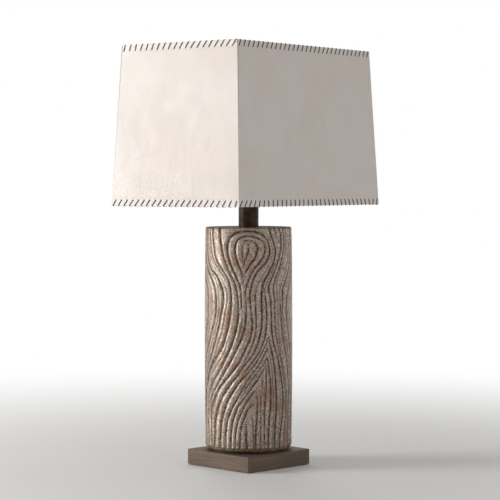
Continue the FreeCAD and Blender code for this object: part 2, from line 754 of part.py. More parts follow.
def make_socket():
    thread = "sizes.pipe_radius + sizes.seat_gap"
    collar = "sizes.cap_collar_radius"
    inside = "levels.cap_radius - sizes.cap_wall"
    outline = [(thread, "levels.cap_bottom"), (collar, "levels.cap_bottom"),
               (collar, "levels.collar_top"), ("levels.cap_radius", "levels.dome_top"),
               ("levels.cap_radius", "levels.cap_top"), (inside, "levels.cap_top"),
               (inside, "levels.dome_top + sizes.cap_wall / 2"),
               (thread, "levels.collar_top + sizes.cap_wall / 2")]
    keep(turned("socket_cap", outline))

    hole = "sizes.shaft_radius + sizes.thread_gap"
    level = "levels.switch_level"
    reach = "sizes.shell_radius + sizes.drill_start"

    shell = ring("socket_shell", "sizes.shell_radius", "sizes.shell_radius - sizes.shell_wall",
                 "levels.shell_bottom", "levels.shell_top")
    drill_front(shell, "shaft_hole", level, hole, reach)

    liner = ring("socket_liner", "levels.liner_radius", "levels.liner_radius - sizes.liner_wall",
                 "levels.core_bottom", "levels.shell_top - sizes.cap_wall")
    drill_front(liner, "shaft_hole", level, hole, reach)

    core = disc("socket_core", "levels.core_radius", "levels.core_bottom", "levels.core_top")
    drill_front(core, "shaft_bore", level, "sizes.shaft_radius + sizes.shaft_gap", reach)
    for name, offset in (("terminal_seat_right", "levels.core_radius"),
                         ("terminal_seat_left", "-levels.core_radius")):
        sketch = new_sketch(core, name + "_outline", "YZ_Plane", offset)
        draw_circle(sketch, "0", "levels.terminal_level",
                    "sizes.terminal_radius + sizes.thread_gap")
        seat = cut(core, name, sketch, "sizes.terminal_depth + sizes.terminal_sink")
        seat.Reversed = name.endswith("left")
        doc.recompute()


def drill_front(body, name, level, radius, reach):
    """A hole through the front half of a round piece, from its axis towards -Y."""
    sketch = new_sketch(body, name + "_outline", "XZ_Plane", reach)
    draw_circle(sketch, "0", level, radius)
    return cut(body, name, sketch, reach)


def make_socket_inside():
    inner = "sizes.bulb_cap_radius + sizes.thread_gap"
    outer = f"{inner} + sizes.screw_shell_wall"
    floor = "levels.core_top + sizes.screw_shell_wall"
    lip = f"{inner} - sizes.screw_shell_lip"
    top = "levels.core_top + sizes.screw_shell_height"
    outline = [(lip, "levels.core_top"), (outer, "levels.core_top"), (outer, top),
               (inner, top), (inner, floor), (lip, floor)]
    keep(turned("socket_screw_shell", outline))

    body = keep(doc.addObject("PartDesign::Body", "socket_contact"))
    low = "levels.core_top"
    high = "levels.contact_top"
    strip = "sizes.contact_strip"
    tail = "-sizes.contact_tail"
    bend = "sizes.contact_bend"
    flat = "sizes.contact_flat"
    profile = [(tail, low), (f"-{bend}", low), (bend, f"{high} - {strip}"),
               (flat, f"{high} - {strip}"), (flat, high), (f"{bend} - {strip} / 2", high),
               (f"-{bend} - {strip} / 2", f"{low} + {strip}"), (tail, f"{low} + {strip}")]
    pad(body, "contact_strip", "XZ_Plane", profile, "0", "sizes.contact_width", True)

    screws = []
    for sign in (1, -1):
        head = doc.addObject("Part::Cylinder", "terminal_head")
        head.setExpression("Radius", "sizes.terminal_radius")
        head.setExpression("Height", "sizes.terminal_depth")
        face = value("levels.core_radius")
        level = value("levels.terminal_level")
        depth = value("sizes.terminal_depth + sizes.terminal_sink")
        head.Placement = Placement(Vector(sign * (face - depth), 0, level),
                                   Rotation(Vector(0, 1, 0), 90 * sign))
        screws.append(head)
    pair = doc.addObject("Part::Compound", "terminal_screws")
    pair.Links = screws
    keep(pair)


def make_switch():
    """The switch's shaft and its fluted knob, turned about Z and laid along -Y."""
    to_front = Rotation(Vector(1, 0, 0), 90)
    tip = "levels.shaft_tip"
    shaft = disc("switch_shaft", "sizes.shaft_radius", "sizes.shaft_inner_end", tip)
    back = "levels.knob_back"
    front = "levels.knob_front"
    outer = "sizes.knob_radius"
    hole = "sizes.shaft_radius + sizes.seat_gap"
    outline = [(hole, back), (outer, back), (outer, front), ("0", front),
               ("0", f"{tip} + sizes.seat_gap"), (hole, f"{tip} + sizes.seat_gap")]
    knob = keep(turned("switch_knob", outline))
    sketch = new_sketch(knob, "flute_outline", "XY_Plane", front)
    draw_circle(sketch, outer, "0", "sizes.knob_flute_radius")
    flute = cut(knob, "flute", sketch, "sizes.knob_length - sizes.knob_flute_stop")
    flutes = knob.newObject("PartDesign::PolarPattern", "flutes")
    flutes.Originals = [flute]
    flutes.Axis = (sketch, ["N_Axis"])
    flutes.Angle = 360
    flutes.Occurrences = KNOB_FLUTES
    knob.Tip = flutes
    for piece in (shaft, knob):
        piece.setExpression("Placement.Base.z", "levels.switch_level")
        piece.Placement.Rotation = to_front


# Bulb

def make_bulb():
    base = "sizes.bulb_cap_radius"
    wall = "sizes.bulb_wall"
    disc("bulb_contact", "sizes.bulb_tip_radius", "levels.bulb_bottom", "levels.bulb_tip_top")
    outline = [("0", "levels.bulb_tip_top"), ("sizes.bulb_tip_radius", "levels.bulb_tip_top"),
               (f"{base} - sizes.bulb_insulator_step", "levels.bulb_cap_bottom"),
               ("0", "levels.bulb_cap_bottom")]
    keep(turned("bulb_insulator", outline))
    floor = f"levels.bulb_cap_bottom + {wall}"
    inside = "sizes.bulb_neck_radius + sizes.seat_gap"
    outline = [("0", "levels.bulb_cap_bottom"), (base, "levels.bulb_cap_bottom"),
               (base, "levels.bulb_cap_top"), (inside, "levels.bulb_cap_top"),
               (inside, floor), ("0", floor)]
    keep(turned("bulb_cap", outline))

    neck_end = "levels.bulb_cap_top - sizes.bulb_neck_insert"
    neck = "sizes.bulb_neck_radius"
    ball = "sizes.bulb_radius"
    # the neck's flare meets the ball at this angle below its middle
    flare_r = "cos(sizes.bulb_flare_angle * 1 deg)"
    flare_z = "sin(sizes.bulb_flare_angle * 1 deg)"
    outline = [(f"{neck} - {wall}", neck_end), (neck, neck_end),
               (neck, "levels.bulb_neck_top", "sizes.bulb_flare_radius", -1),
               (f"{ball} * {flare_r}", f"levels.bulb_middle - {ball} * {flare_z}", ball, 1),
               (ball, "levels.bulb_middle", ball, 1),
               ("0", "levels.bulb_top"),
               ("0", f"levels.bulb_top - {wall}", f"{ball} - {wall}", -1),
               (f"{ball} - {wall}", "levels.bulb_middle", f"{ball} - {wall}", -1),
               (f"({ball} - {wall}) * {flare_r}",
                f"levels.bulb_middle - ({ball} - {wall}) * {flare_z}",
                f"sizes.bulb_flare_radius + {wall}", 1),
               (f"{neck} - {wall}", "levels.bulb_neck_top")]
    keep(turned("bulb_glass", outline))


# Shade

def turn_with_shade(piece, quarter=0):
    """Turn a piece of the shade about the column's axis, by the shade's turn and by quarters."""
    piece.setExpression("Placement.Rotation.Angle",
                        f"(sizes.shade_turn_angle + {90 * quarter}) * 1 deg")
    return piece


def shade_half(span, level):
    """Half the shade's outer width or depth at a height."""
    fall = value(f"levels.shade_top - ({level})") / value("sizes.shade_height")
    return value(f"{span} / 2") - value("sizes.shade_taper") * (1 - fall)


def make_panels():
    """Four hide panels, mitred at the corners, each leaning in by the shade's taper."""
    long_half = "sizes.shade_bottom_width / 2"
    short_half = "sizes.shade_bottom_depth / 2"
    make_panel("shade_panel_front", short_half, long_half, 0)
    make_panel("shade_panel_right", long_half, short_half, 1)
    make_panel("shade_panel_back", short_half, long_half, 2)
    make_panel("shade_panel_left", long_half, short_half, 3)


def make_panel(label, out, across, quarter):
    """A panel built facing -Y and then turned to its side of the shade."""
    body = keep(doc.addObject("PartDesign::Body", label))
    skin = "sizes.hide_thickness / cos(atan(sizes.shade_taper / sizes.shade_height))"
    low = f"-({out})"
    high = f"-({out} - sizes.shade_taper)"
    past = "2 * sizes.hide_thickness"
    profile = [(low, "levels.shade_bottom"), (f"{low} + {skin}", "levels.shade_bottom"),
               (f"{high} + {skin}", "levels.shade_top"), (high, "levels.shade_top")]
    pad(body, "hide", "YZ_Plane", profile, "0", f"2 * ({across})", True)
    for name, side in (("mitre_right", ""), ("mitre_left", "-")):
        sketch = new_sketch(body, name + "_outline", "XY_Plane", f"levels.shade_top + {past}")
        gap = "sizes.seat_gap"
        far = f"{side}({across} + 2 * {past})"
        front = f"-({out} + {past})"
        back = f"{high} + 2 * {past}"
        draw_outline(sketch, [
            (f"{side}({across} + {past} - {gap})", front), (far, front), (far, back),
            (f"{side}({across} - sizes.shade_taper - 2 * {past} - {gap})", back)])
        cut(body, name, sketch, f"sizes.shade_height + 2 * {past}")
    turn_with_shade(body, quarter)


def wire_loop(level):
    """Corners of a frame wire's middle line at a height, inside the leaning hide."""
    lean = math.atan(value("sizes.shade_taper") / value("sizes.shade_height"))
    inset = value("sizes.hide_thickness + sizes.frame_wire_radius + sizes.seat_gap")
    inset = inset / math.cos(lean)
    wide = shade_half("sizes.shade_bottom_width", level) - inset
    deep = shade_half("sizes.shade_bottom_depth", level) - inset
    height = value(level)
    return [Vector(wide, -deep, height), Vector(wide, deep, height),
            Vector(-wide, deep, height), Vector(-wide, -deep, height)]


def make_frame():
    radius = value("sizes.frame_wire_radius")
    bend = value("sizes.frame_bend_radius")
    top_level = "levels.shade_top - sizes.frame_inset"
    bottom_level = "levels.shade_bottom + sizes.frame_inset"
    top = wire_loop(top_level)
    bottom = wire_loop(bottom_level)
    for label, corners in (("shade_frame_top", top), ("shade_frame_bottom", bottom)):
        loop = shaped_piece(label, bent_rod(corners, [bend] * 4, radius, True))
        turn_with_shade(loop)

    gap = radius + value("sizes.seat_gap")
    cut_in = bend * (1 - 1 / math.sqrt(2))
    posts = []
    for low, high in zip(bottom, top):
        sink = Vector(math.copysign(cut_in, low.x), math.copysign(cut_in, low.y), 0)
        rise = (high - low).normalize()
        start = low - sink + rise * gap
        length = (high - low).Length - 2 * gap
        posts.append(Part.makeCylinder(value("sizes.post_radius"), length, start, rise))
    turn_with_shade(shaped_piece("shade_corner_posts", Part.Compound(posts)))


def make_spider():
    """A washer on the harp's stud, and four arms from it to the top frame."""
    hub = ring("spider_hub", "sizes.hub_radius", "sizes.stud_radius + sizes.shaft_gap",
               "levels.hub_bottom", "levels.hub_top")
    turn_with_shade(hub)

    radius = value("sizes.spider_wire_radius")
    bend = value("sizes.spider_bend_radius")
    level = value("levels.hub_bottom + sizes.hub_height / 2")
    gap = value("sizes.seat_gap")
    frame_level = "levels.shade_top - sizes.frame_inset"
    corner = wire_loop(frame_level)[1]
    under = corner.z - value("sizes.frame_wire_radius") - gap
    arms = []
    for reach, along in ((corner.x, Vector(1, 0, 0)), (corner.y, Vector(0, 1, 0)),
                         (corner.x, Vector(-1, 0, 0)), (corner.y, Vector(0, -1, 0))):
        start = along * (value("sizes.hub_radius") + gap) + Vector(0, 0, level)
        elbow = along * reach + Vector(0, 0, level)
        end = along * reach + Vector(0, 0, under)
        arms.append(bent_rod([start, elbow, end], [0, bend, 0], radius))
    turn_with_shade(shaped_piece("spider_arms", Part.Compound(arms)))


def make_lacing():
    """Whip stitches along the top and bottom edges, as flat strips on the hide's outside."""
    lean = math.atan(value("sizes.shade_taper") / value("sizes.shade_height"))
    width = value("sizes.stitch_width")
    height = value("sizes.stitch_height")
    thick = value("sizes.stitch_thickness")
    off = value("sizes.seat_gap")
    margin = value("sizes.stitch_margin")
    sides = (("sizes.shade_bottom_depth", "sizes.shade_bottom_width", "sizes.long_stitch_lean"),
             ("sizes.shade_bottom_width", "sizes.shade_bottom_depth", "sizes.side_stitch_lean"))
    for label, level, inward in (("lacing_top", "levels.shade_top", -1),
                                 ("lacing_bottom", "levels.shade_bottom", 1)):
        strips = []
        for quarter in range(4):
            out_span, across_span, slant = sides[quarter % 2]
            out = shade_half(out_span, level)
            across = 2 * shade_half(across_span, level)
            tilt = math.degrees(math.atan(value(slant) / height))
            room = height * math.sin(math.radians(tilt)) + width
            count = max(int(round(across / value("sizes.stitch_pitch"))), 1)
            for number in range(count):
                place = -across / 2 + across * (number + 0.5) / count
                place = max(min(place, across / 2 - room), room - across / 2)
                strip = Part.makeBox(width, thick, height,
                                     Vector(-width / 2, -thick - off, -height / 2))
                strip.rotate(Vector(0, 0, 0), Vector(0, 1, 0), tilt)
                rise = inward * (height / 2 + margin)
                strip.translate(Vector(place, 0, rise))
                strip.rotate(Vector(0, 0, 0), Vector(1, 0, 0), -math.degrees(lean))
                strip.translate(Vector(0, -out, value(level)))
                strip.rotate(Vector(0, 0, 0), Vector(0, 0, 1), 90 * quarter)
                strips.append(strip)
        turn_with_shade(shaped_piece(label, Part.Compound(strips)))


# Finial

def make_finial():
    bore = "sizes.stud_radius + sizes.shaft_gap"
    collar = "sizes.finial_collar_radius"
    neck = "sizes.finial_neck_radius"
    ball = "sizes.finial_ball_radius"
    bottom = "levels.finial_bottom"
    collar_top = "levels.finial_bottom + sizes.finial_collar_height"
    middle = f"levels.finial_top - {ball}"
    meets = f"{middle} - sqrt({ball} * {ball} - {neck} * {neck})"
    bore_top = "levels.stud_top + sizes.turn_gap"
    outline = [(bore, bottom), (collar, bottom), (collar, collar_top), (neck, collar_top),
               (neck, meets, ball, 1), (ball, middle, ball, 1), ("0", "levels.finial_top"),
               ("0", bore_top), (bore, bore_top)]
    keep(turned("finial", outline))


make_felt()
make_plinth()
make_grommet()
make_base_hardware()
make_column()
make_neck()
make_saddle()
make_harp()
make_socket()
make_socket_inside()
make_switch()
make_bulb()
make_panels()
make_frame()
make_spider()
make_lacing()
make_finial()
doc.recompute()


# Check every object, then write each piece

failed = [item.Name for item in doc.Objects if {"Invalid", "Error"} & set(item.State)]
if failed:
    raise RuntimeError("these objects failed: " + ", ".join(failed))
for piece in pieces:
    if piece.Shape.isNull() or not piece.Shape.isValid() or not piece.Shape.Solids:
        raise RuntimeError("this piece has no valid solid: " + piece.Label)

os.makedirs("parts", exist_ok=True)
for piece in pieces:
    piece.Shape.exportStep("parts/" + piece.Label + ".step")
    print(piece.Label, len(piece.Shape.Solids), round(piece.Shape.Volume, 1))
print("pieces", len(pieces))
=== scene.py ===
"""The looks of the column table lamp: carved silvered column, laced hide shade, limed oak plinth.

Metres, +Z up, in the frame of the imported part.
"""

import json
import math
import random

import bmesh
import bpy
from mathutils import Matrix, Vector, kdtree, noise


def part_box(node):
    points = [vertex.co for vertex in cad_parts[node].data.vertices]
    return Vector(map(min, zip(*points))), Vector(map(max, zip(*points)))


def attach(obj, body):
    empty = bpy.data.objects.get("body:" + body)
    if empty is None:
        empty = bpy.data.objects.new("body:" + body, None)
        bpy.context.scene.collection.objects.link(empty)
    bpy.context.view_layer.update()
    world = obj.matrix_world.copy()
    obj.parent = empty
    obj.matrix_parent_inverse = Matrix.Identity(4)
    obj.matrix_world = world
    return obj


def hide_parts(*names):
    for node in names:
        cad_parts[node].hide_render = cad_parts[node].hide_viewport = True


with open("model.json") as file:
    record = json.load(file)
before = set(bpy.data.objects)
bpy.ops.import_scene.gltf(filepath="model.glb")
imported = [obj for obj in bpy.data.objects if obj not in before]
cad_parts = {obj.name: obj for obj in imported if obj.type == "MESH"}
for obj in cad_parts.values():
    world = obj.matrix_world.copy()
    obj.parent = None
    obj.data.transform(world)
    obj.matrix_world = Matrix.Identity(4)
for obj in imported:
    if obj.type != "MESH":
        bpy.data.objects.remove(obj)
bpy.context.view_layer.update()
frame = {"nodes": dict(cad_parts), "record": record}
nodes = frame["nodes"]
record = frame["record"]
slot_of = {row["node"]: row["material_slot"] for row in record["subparts"]}

MM = 0.001

# camera: how far it turns from looking along +Y, how far it looks down, where it stands
CAMERA_TURN = math.radians(-44.57)
CAMERA_DIP = 0.0385
CAMERA_PLACE = (-2.5140, -2.5559, 0.5470)
CAMERA_LENS = 136.08

# column, in millimetres where not said otherwise
COLUMN_BOTTOM = 35.0
COLUMN_TOP = 453.0
COLUMN_RADIUS = 82.0
COLUMN_BORE = 74.0
COLUMN_STEPS = 420      # points round it
COLUMN_ROWS = 198       # rows between the rims
COLUMN_SWELL = 1.8      # at mid-height
RIM_ROUND = 3.0
FRONT_ANGLE = math.radians(225.43)

# carving
LIP_TOP = 37.8          # the plain lip ends here
RIDGE_FOOT = 41.2       # and the ridges are whole from here
LIP_CUT = 1.2           # how far the lip lies back
BEAD_HEIGHT = 0.7       # the bead at each ridge's foot
BEAD_RISE = 1.2         # its middle, above the foot
BEAD_SPREAD = 1.6
MAIN_DEPTH = 1.7        # grooves as deep as this shape the ridges, the others score them
MAIN_GAIN = 1.3         # cut per millimetre of a main groove's depth
FINE_GAIN = 0.85
FINE_HALF = 2.1         # half a fine groove's width
RIDGE_HALF = 7.0        # half a ridge's width where nothing bounds it
RIDGE_STEEP = 0.42      # deepest cut, as a share of the ridge's width
RIDGE_POWER = 0.66      # how rounded a ridge is
# The darkening of the flanks is partly bole showing and partly painted shade.
CROWN_DEPTH = 2.0       # a groove as deep as this darkens its ridge's flanks fully
TAPER_STEPS = 30        # spots over which a groove's free end rises
FREE_LEVELS = (41, 455)

# shade, in millimetres
SHADE_TURN = math.radians(8.43)
SHADE_TOP = 790.0
SHADE_HEIGHT = 295.7
SHADE_LONG = 448.0
SHADE_SHORT = 296.0
SHADE_TAPER = 14.0
HIDE = 1.2
STITCH_PITCH = 13.4
STITCH_HOLE = 11.4
LACE_WIDTH = 1.8
LACE_THICK = 0.7

# light that the room gives, where it isn't seen
ROOM_LIGHT = 0.36


# Materials

def srgb(red, green, blue):
    """A colour from its 0 to 255 screen values."""
    channels = []
    for level in (red, green, blue):
        share = level / 255
        low = share / 12.92
        high = ((share + 0.055) / 1.055) ** 2.4
        channels.append(low if share <= 0.04045 else high)
    return (*channels, 1.0)


class Finish:
    """A material being built: its nodes, and short ways to join them."""

    def __init__(self, name):
        self.material = bpy.data.materials.new(name)
        self.material.use_nodes = True
        self.tree = self.material.node_tree
        self.shader = self.tree.nodes["Principled BSDF"]

    def feed(self, socket, source):
        if isinstance(source, bpy.types.NodeSocket):
            self.tree.links.new(source, socket)
        else:
            socket.default_value = source

    def node(self, kind, inputs, **settings):
        made = self.tree.nodes.new("ShaderNode" + kind)
        for name, setting in settings.items():
            setattr(made, name, setting)
        for name, source in inputs.items():
            self.feed(made.inputs[name], source)
        return made

    def place(self, scale=(1, 1, 1), turn=(0, 0, 0)):
        """Object coordinates, stretched and turned."""
        coords = self.node("TexCoord", {}).outputs["Object"]
        return self.node("Mapping", {"Vector": coords, "Scale": scale,
                                     "Rotation": turn}).outputs[0]

    def cloud(self, place, scale, detail=3.0, rough=0.5, warp=0.0):
        """Soft noise, 0 to 1."""
        return self.node("TexNoise", {"Vector": place, "Scale": scale, "Detail": detail,
                                      "Roughness": rough, "Distortion": warp}).outputs[0]

    def cells(self, place, scale):
        """Distance from the middle of scattered cells."""
        return self.node("TexVoronoi", {"Vector": place, "Scale": scale}).outputs["Distance"]

    def spread(self, source, low, high, to_low=0.0, to_high=1.0, smooth=True):
        """Low to high becomes to_low to to_high, and holds beyond."""
        kind = "SMOOTHSTEP" if smooth else "LINEAR"
        return self.node("MapRange", {"Value": source, "From Min": low, "From Max": high,
                                      "To Min": to_low, "To Max": to_high},
                         interpolation_type=kind).outputs[0]

    def calc(self, operation, first, second=0.0):
        made = self.node("Math", {}, operation=operation)
        self.feed(made.inputs[0], first)
        self.feed(made.inputs[1], second)
        return made.outputs[0]

    def blend(self, share, first, second):
        """A colour between first and second."""
        made = self.node("Mix", {}, data_type="RGBA")
        self.feed(made.inputs[0], share)
        self.feed(made.inputs[6], first)
        self.feed(made.inputs[7], second)
        return made.outputs[2]

    def stored(self, name):
        """A value that the mesh holds at each point."""
        return self.node("Attribute", {}, attribute_name=name).outputs["Fac"]

    def bump(self, height, distance, strength=1.0, under=None):
        inputs = {"Height": height, "Distance": distance, "Strength": strength}
        if under is not None:
            inputs["Normal"] = under
        return self.node("Bump", inputs).outputs[0]

    def surface(self, **sockets):
        """Set the shader's sockets, such as Base_Color or Roughness."""
        for name, source in sockets.items():
            self.feed(self.shader.inputs[name.replace("_", " ")], source)
        return self.material


def turned_metal(name, bright, dull, roughness, grain):
    """Metal with faint turning lines and soft tarnish."""
    finish = Finish(name)
    lines = finish.cloud(finish.place((40, 40, grain)), 1.0, 2.0)
    tarnish = finish.cloud(finish.place(), 38.0, 5.0, 0.6, 0.4)
    worn = finish.spread(tarnish, 0.42, 0.68)
    colour = finish.blend(worn, bright, dull)
    shine = finish.calc("ADD", finish.spread(tarnish, 0.3, 0.7, roughness, roughness + 0.14),
                        finish.spread(lines, 0.3, 0.7, -0.05, 0.05))
    return finish.surface(Base_Color=colour, Metallic=1.0, Roughness=shine,
                          Normal=finish.bump(lines, 0.00004, 0.5))


def dark_bronze():
    """Brown bronze, brushed along its height and rubbed lighter in flecks."""
    finish = Finish("dark_bronze_patina")
    place = finish.place()
    brushed = finish.cloud(finish.place((55, 55, 900)), 1.0, 3.0)
    patches = finish.cloud(place, 24.0, 5.0, 0.62, 0.6)
    flecks = finish.cloud(place, 420.0, 2.0)
    colour = finish.blend(finish.spread(patches, 0.35, 0.7), srgb(54, 41, 30), srgb(33, 25, 18))
    rubbed = finish.calc("MULTIPLY", finish.spread(flecks, 0.6, 0.78),
                         finish.spread(patches, 0.5, 0.7))
    colour = finish.blend(rubbed, colour, srgb(104, 82, 56))
    shine = finish.spread(patches, 0.3, 0.7, 0.36, 0.56)
    return finish.surface(Base_Color=colour, Metallic=0.75, Roughness=shine,
                          Normal=finish.bump(brushed, 0.00005, 0.6))


def silver_leaf():
    """Silver leaf over red bole: rubbed bright on the ridges, with brown waxed grooves and bole on
    the flanks, both deepened by painted shade towards the groove bottoms.
    """
    finish = Finish("silver_leaf_over_bole")
    groove = finish.stored("groove")
    crown = finish.stored("crown")
    rim = finish.stored("rim")
    place = finish.place()
    flecks = finish.cloud(finish.place((300, 300, 1300)), 1.0, 4.0, 0.68)
    patches = finish.cloud(place, 15.0, 5.0, 0.6, 0.9)
    mottle = finish.cloud(place, 90.0, 4.0, 0.62, 0.3)
    uneven = finish.spread(mottle, 0.3, 0.7, -0.14, 0.14, False)
    height = finish.calc("ADD", crown, uneven)

    silver = finish.blend(finish.spread(flecks, 0.42, 0.62),
                          srgb(100, 85, 73), srgb(220, 204, 188))
    silver = finish.blend(finish.spread(mottle, 0.46, 0.7, 0.0, 0.4), silver, srgb(84, 70, 58))
    warm = finish.spread(patches, 0.5, 0.68, 0.0, 0.5)
    silver = finish.blend(warm, silver, srgb(132, 92, 68))
    # Silver on the crowns, reddish brown on the flanks: bole showing, deepened towards the grooves
    # as painted shade.
    flank = finish.blend(finish.spread(patches, 0.4, 0.62), srgb(70, 50, 37), srgb(112, 54, 33))
    colour = finish.blend(finish.spread(height, 0.38, 0.86), flank, silver)
    scratches = finish.calc("MULTIPLY", finish.spread(flecks, 0.3, 0.42, 1.0, 0.0),
                            finish.spread(height, 0.4, 0.8, 0.2, 0.75))
    colour = finish.blend(scratches, colour, srgb(88, 66, 50))
    # Dark brown in the groove bottoms: partly wax, deepened as painted shade in the grooves.
    depth = finish.calc("ADD", groove, finish.calc("MULTIPLY", uneven, 2.6))
    groove_wax_and_shade = finish.calc("MULTIPLY", finish.spread(depth, 0.8, 2.3, 1.0, 0.0),
                      finish.spread(crown, 0.3, 0.7, 1.0, 0.25))
    colour = finish.blend(groove_wax_and_shade, colour, srgb(38, 25, 17))
    gold = finish.blend(finish.spread(mottle, 0.36, 0.66), srgb(128, 110, 76), srgb(84, 68, 44))
    colour = finish.blend(finish.spread(rim, 0.15, 0.7, 0.0, 0.92), colour, gold)

    metal = finish.calc("MULTIPLY", finish.spread(height, 0.35, 0.85, 0.08, 0.46),
                        finish.calc("SUBTRACT", 1.0, groove_wax_and_shade))
    shine = finish.calc("ADD", finish.spread(height, 0.3, 0.9, 0.58, 0.34),
                        finish.spread(flecks, 0.35, 0.7, 0.08, -0.05))
    relief = finish.calc("ADD", finish.calc("MULTIPLY", flecks, 0.6), mottle)
    return finish.surface(Base_Color=colour, Metallic=metal, Roughness=shine,
                          Normal=finish.bump(relief, 0.001, 0.7))


def limed_oak():
    """Grey-brown oak: the grain runs level, with lime left in the pores, and painted shade
    darkening the top face.
    """
    finish = Finish("limed_oak")
    wave = finish.cloud(finish.place((9, 9, 30)), 1.0, 2.0)
    base = finish.place((14, 14, 430))
    grain = finish.cloud(base, 1.0, 6.0, 0.62, 0.25)
    pores = finish.cloud(finish.place((60, 60, 1500)), 1.0, 3.0, 0.7)
    top_grain = finish.cloud(finish.place((14, 430, 14)), 1.0, 6.0, 0.62, 0.25)
    top_pores = finish.cloud(finish.place((60, 1500, 60)), 1.0, 3.0, 0.7)
    facing = finish.node("NewGeometry", {}).outputs["Normal"]
    upward = finish.calc("ABSOLUTE", finish.node("SeparateXYZ", {"Vector": facing}).outputs["Z"])
    level = finish.calc("GREATER_THAN", upward, 0.7)
    grain = finish.node("Mix", {"Factor": level, "A": grain, "B": top_grain}).outputs[0]
    pores = finish.node("Mix", {"Factor": level, "A": pores, "B": top_pores}).outputs[0]

    wood = finish.blend(finish.spread(grain, 0.34, 0.66), srgb(84, 68, 53), srgb(120, 101, 83))
    wood = finish.blend(finish.spread(wave, 0.4, 0.66, 0.0, 0.45), wood, srgb(78, 64, 51))
    lime = finish.spread(pores, 0.56, 0.7, 0.0, 0.5)
    wood = finish.blend(lime, wood, srgb(142, 126, 108))
    dark_pores = finish.spread(pores, 0.30, 0.42, 0.75, 0.0)
    wood = finish.blend(dark_pores, wood, srgb(62, 48, 36))
    # Painted shade: the upward-facing top is blended towards dark brown.
    wood = finish.blend(finish.calc("MULTIPLY", level, 0.6), wood, srgb(42, 33, 26))
    relief = finish.calc("ADD", finish.calc("MULTIPLY", grain, 0.6), pores)
    return finish.surface(Base_Color=wood, Roughness=finish.spread(grain, 0.3, 0.7, 0.62, 0.78),
                          Normal=finish.bump(relief, 0.0003, 0.5))


def bare_wood():
    finish = Finish("bare_turned_wood")
    rings = finish.cloud(finish.place((55, 330, 55)), 1.0, 5.0, 0.6, 0.4)
    colour = finish.blend(finish.spread(rings, 0.3, 0.7), srgb(196, 164, 122), srgb(150, 116, 80))
    return finish.surface(Base_Color=colour, Roughness=0.72,
                          Normal=finish.bump(rings, 0.0002, 0.4))


def rubbed_gilding():
    """The column's flat top: an olive gold rub over dark paint."""
    finish = Finish("olive_gold_rub")
    swirl = finish.cloud(finish.place(), 60.0, 5.0, 0.65, 1.2)
    flecks = finish.cloud(finish.place(), 520.0, 2.0)
    colour = finish.blend(finish.spread(swirl, 0.35, 0.68), srgb(118, 101, 70), srgb(70, 57, 38))
    colour = finish.blend(finish.spread(flecks, 0.58, 0.74, 0.0, 0.6), colour, srgb(168, 148, 108))
    return finish.surface(Base_Color=colour, Metallic=finish.spread(swirl, 0.35, 0.7, 0.65, 0.2),
                          Roughness=finish.spread(swirl, 0.3, 0.7, 0.38, 0.6),
                          Normal=finish.bump(swirl, 0.0002, 0.4))


def pale_hide():
    """Stretched rawhide: warm white, faint clouds and a few stains, a fine tight grain.

    Painted highlight makes it paler along the laced hem, painted shade makes it darker in the
    pinches at the stitch holes, and a painted shadow line runs along the corner seam."""
    finish = Finish("pale_rawhide")
    place = finish.place()
    clouds = finish.cloud(place, 7.0, 4.0, 0.55, 0.6)
    wisps = finish.cloud(finish.place((1, 1, 0.55), (0.3, 0.2, 0.0)), 22.0, 6.0, 0.62, 1.2)
    stains = finish.cloud(finish.place((1, 1, 0.7), (0.0, 0.4, 0.7)), 24.0, 4.0, 0.55, 0.8)
    specks = finish.cloud(place, 340.0, 2.0)
    grain = finish.cells(place, 640.0)
    pinch = finish.stored("pinch")
    seam = finish.stored("seam")
    colour = finish.blend(finish.spread(clouds, 0.34, 0.68),
                          srgb(235, 227, 220), srgb(231, 221, 212))
    colour = finish.blend(finish.spread(wisps, 0.56, 0.8, 0.0, 0.22), colour, srgb(220, 208, 196))
    colour = finish.blend(finish.spread(stains, 0.64, 0.8, 0.0, 0.3), colour, srgb(204, 190, 168))
    colour = finish.blend(finish.spread(specks, 0.66, 0.8, 0.0, 0.12), colour, srgb(196, 178, 160))
    # Painted shade in the pinched dimples round each stitch hole.
    colour = finish.blend(finish.spread(pinch, 0.1, 1.0, 0.0, 0.4), colour, srgb(176, 156, 138))
    # Painted highlight along the laced hem.
    hem = finish.calc("MULTIPLY", finish.stored("hem"), 0.3)
    colour = finish.blend(hem, colour, srgb(246, 240, 234))
    # Painted shadow line along the corner seam.
    colour = finish.blend(finish.spread(seam, 0.2, 0.9, 0.0, 0.85), colour, srgb(112, 96, 84))
    fine = finish.bump(grain, 0.00004, 0.25)
    return finish.surface(
        Base_Color=colour, Roughness=finish.spread(wisps, 0.3, 0.7, 0.5, 0.64),
        Subsurface_Weight=0.1, Subsurface_Scale=0.003,
        Normal=finish.bump(finish.calc("ADD", clouds, wisps), 0.0006, 0.15, fine))


def dark_lace():
    finish = Finish("dark_leather_lace")
    place = finish.place()
    grain = finish.cells(place, 900.0)
    wear = finish.cloud(place, 130.0, 4.0, 0.6)
    colour = finish.blend(finish.spread(wear, 0.36, 0.68), srgb(46, 30, 24), srgb(66, 44, 35))
    return finish.surface(Base_Color=colour, Roughness=finish.spread(wear, 0.3, 0.7, 0.5, 0.72),
                          Normal=finish.bump(grain, 0.00012, 0.6))


def painted_wire():
    finish = Finish("cream_enamel_wire")
    flow = finish.cloud(finish.place(), 150.0, 4.0, 0.55, 0.3)
    colour = finish.blend(finish.spread(flow, 0.36, 0.7), srgb(232, 225, 212), srgb(214, 204, 188))
    return finish.surface(Base_Color=colour, Roughness=finish.spread(flow, 0.3, 0.7, 0.34, 0.5),
                          Normal=finish.bump(flow, 0.0002, 0.35))


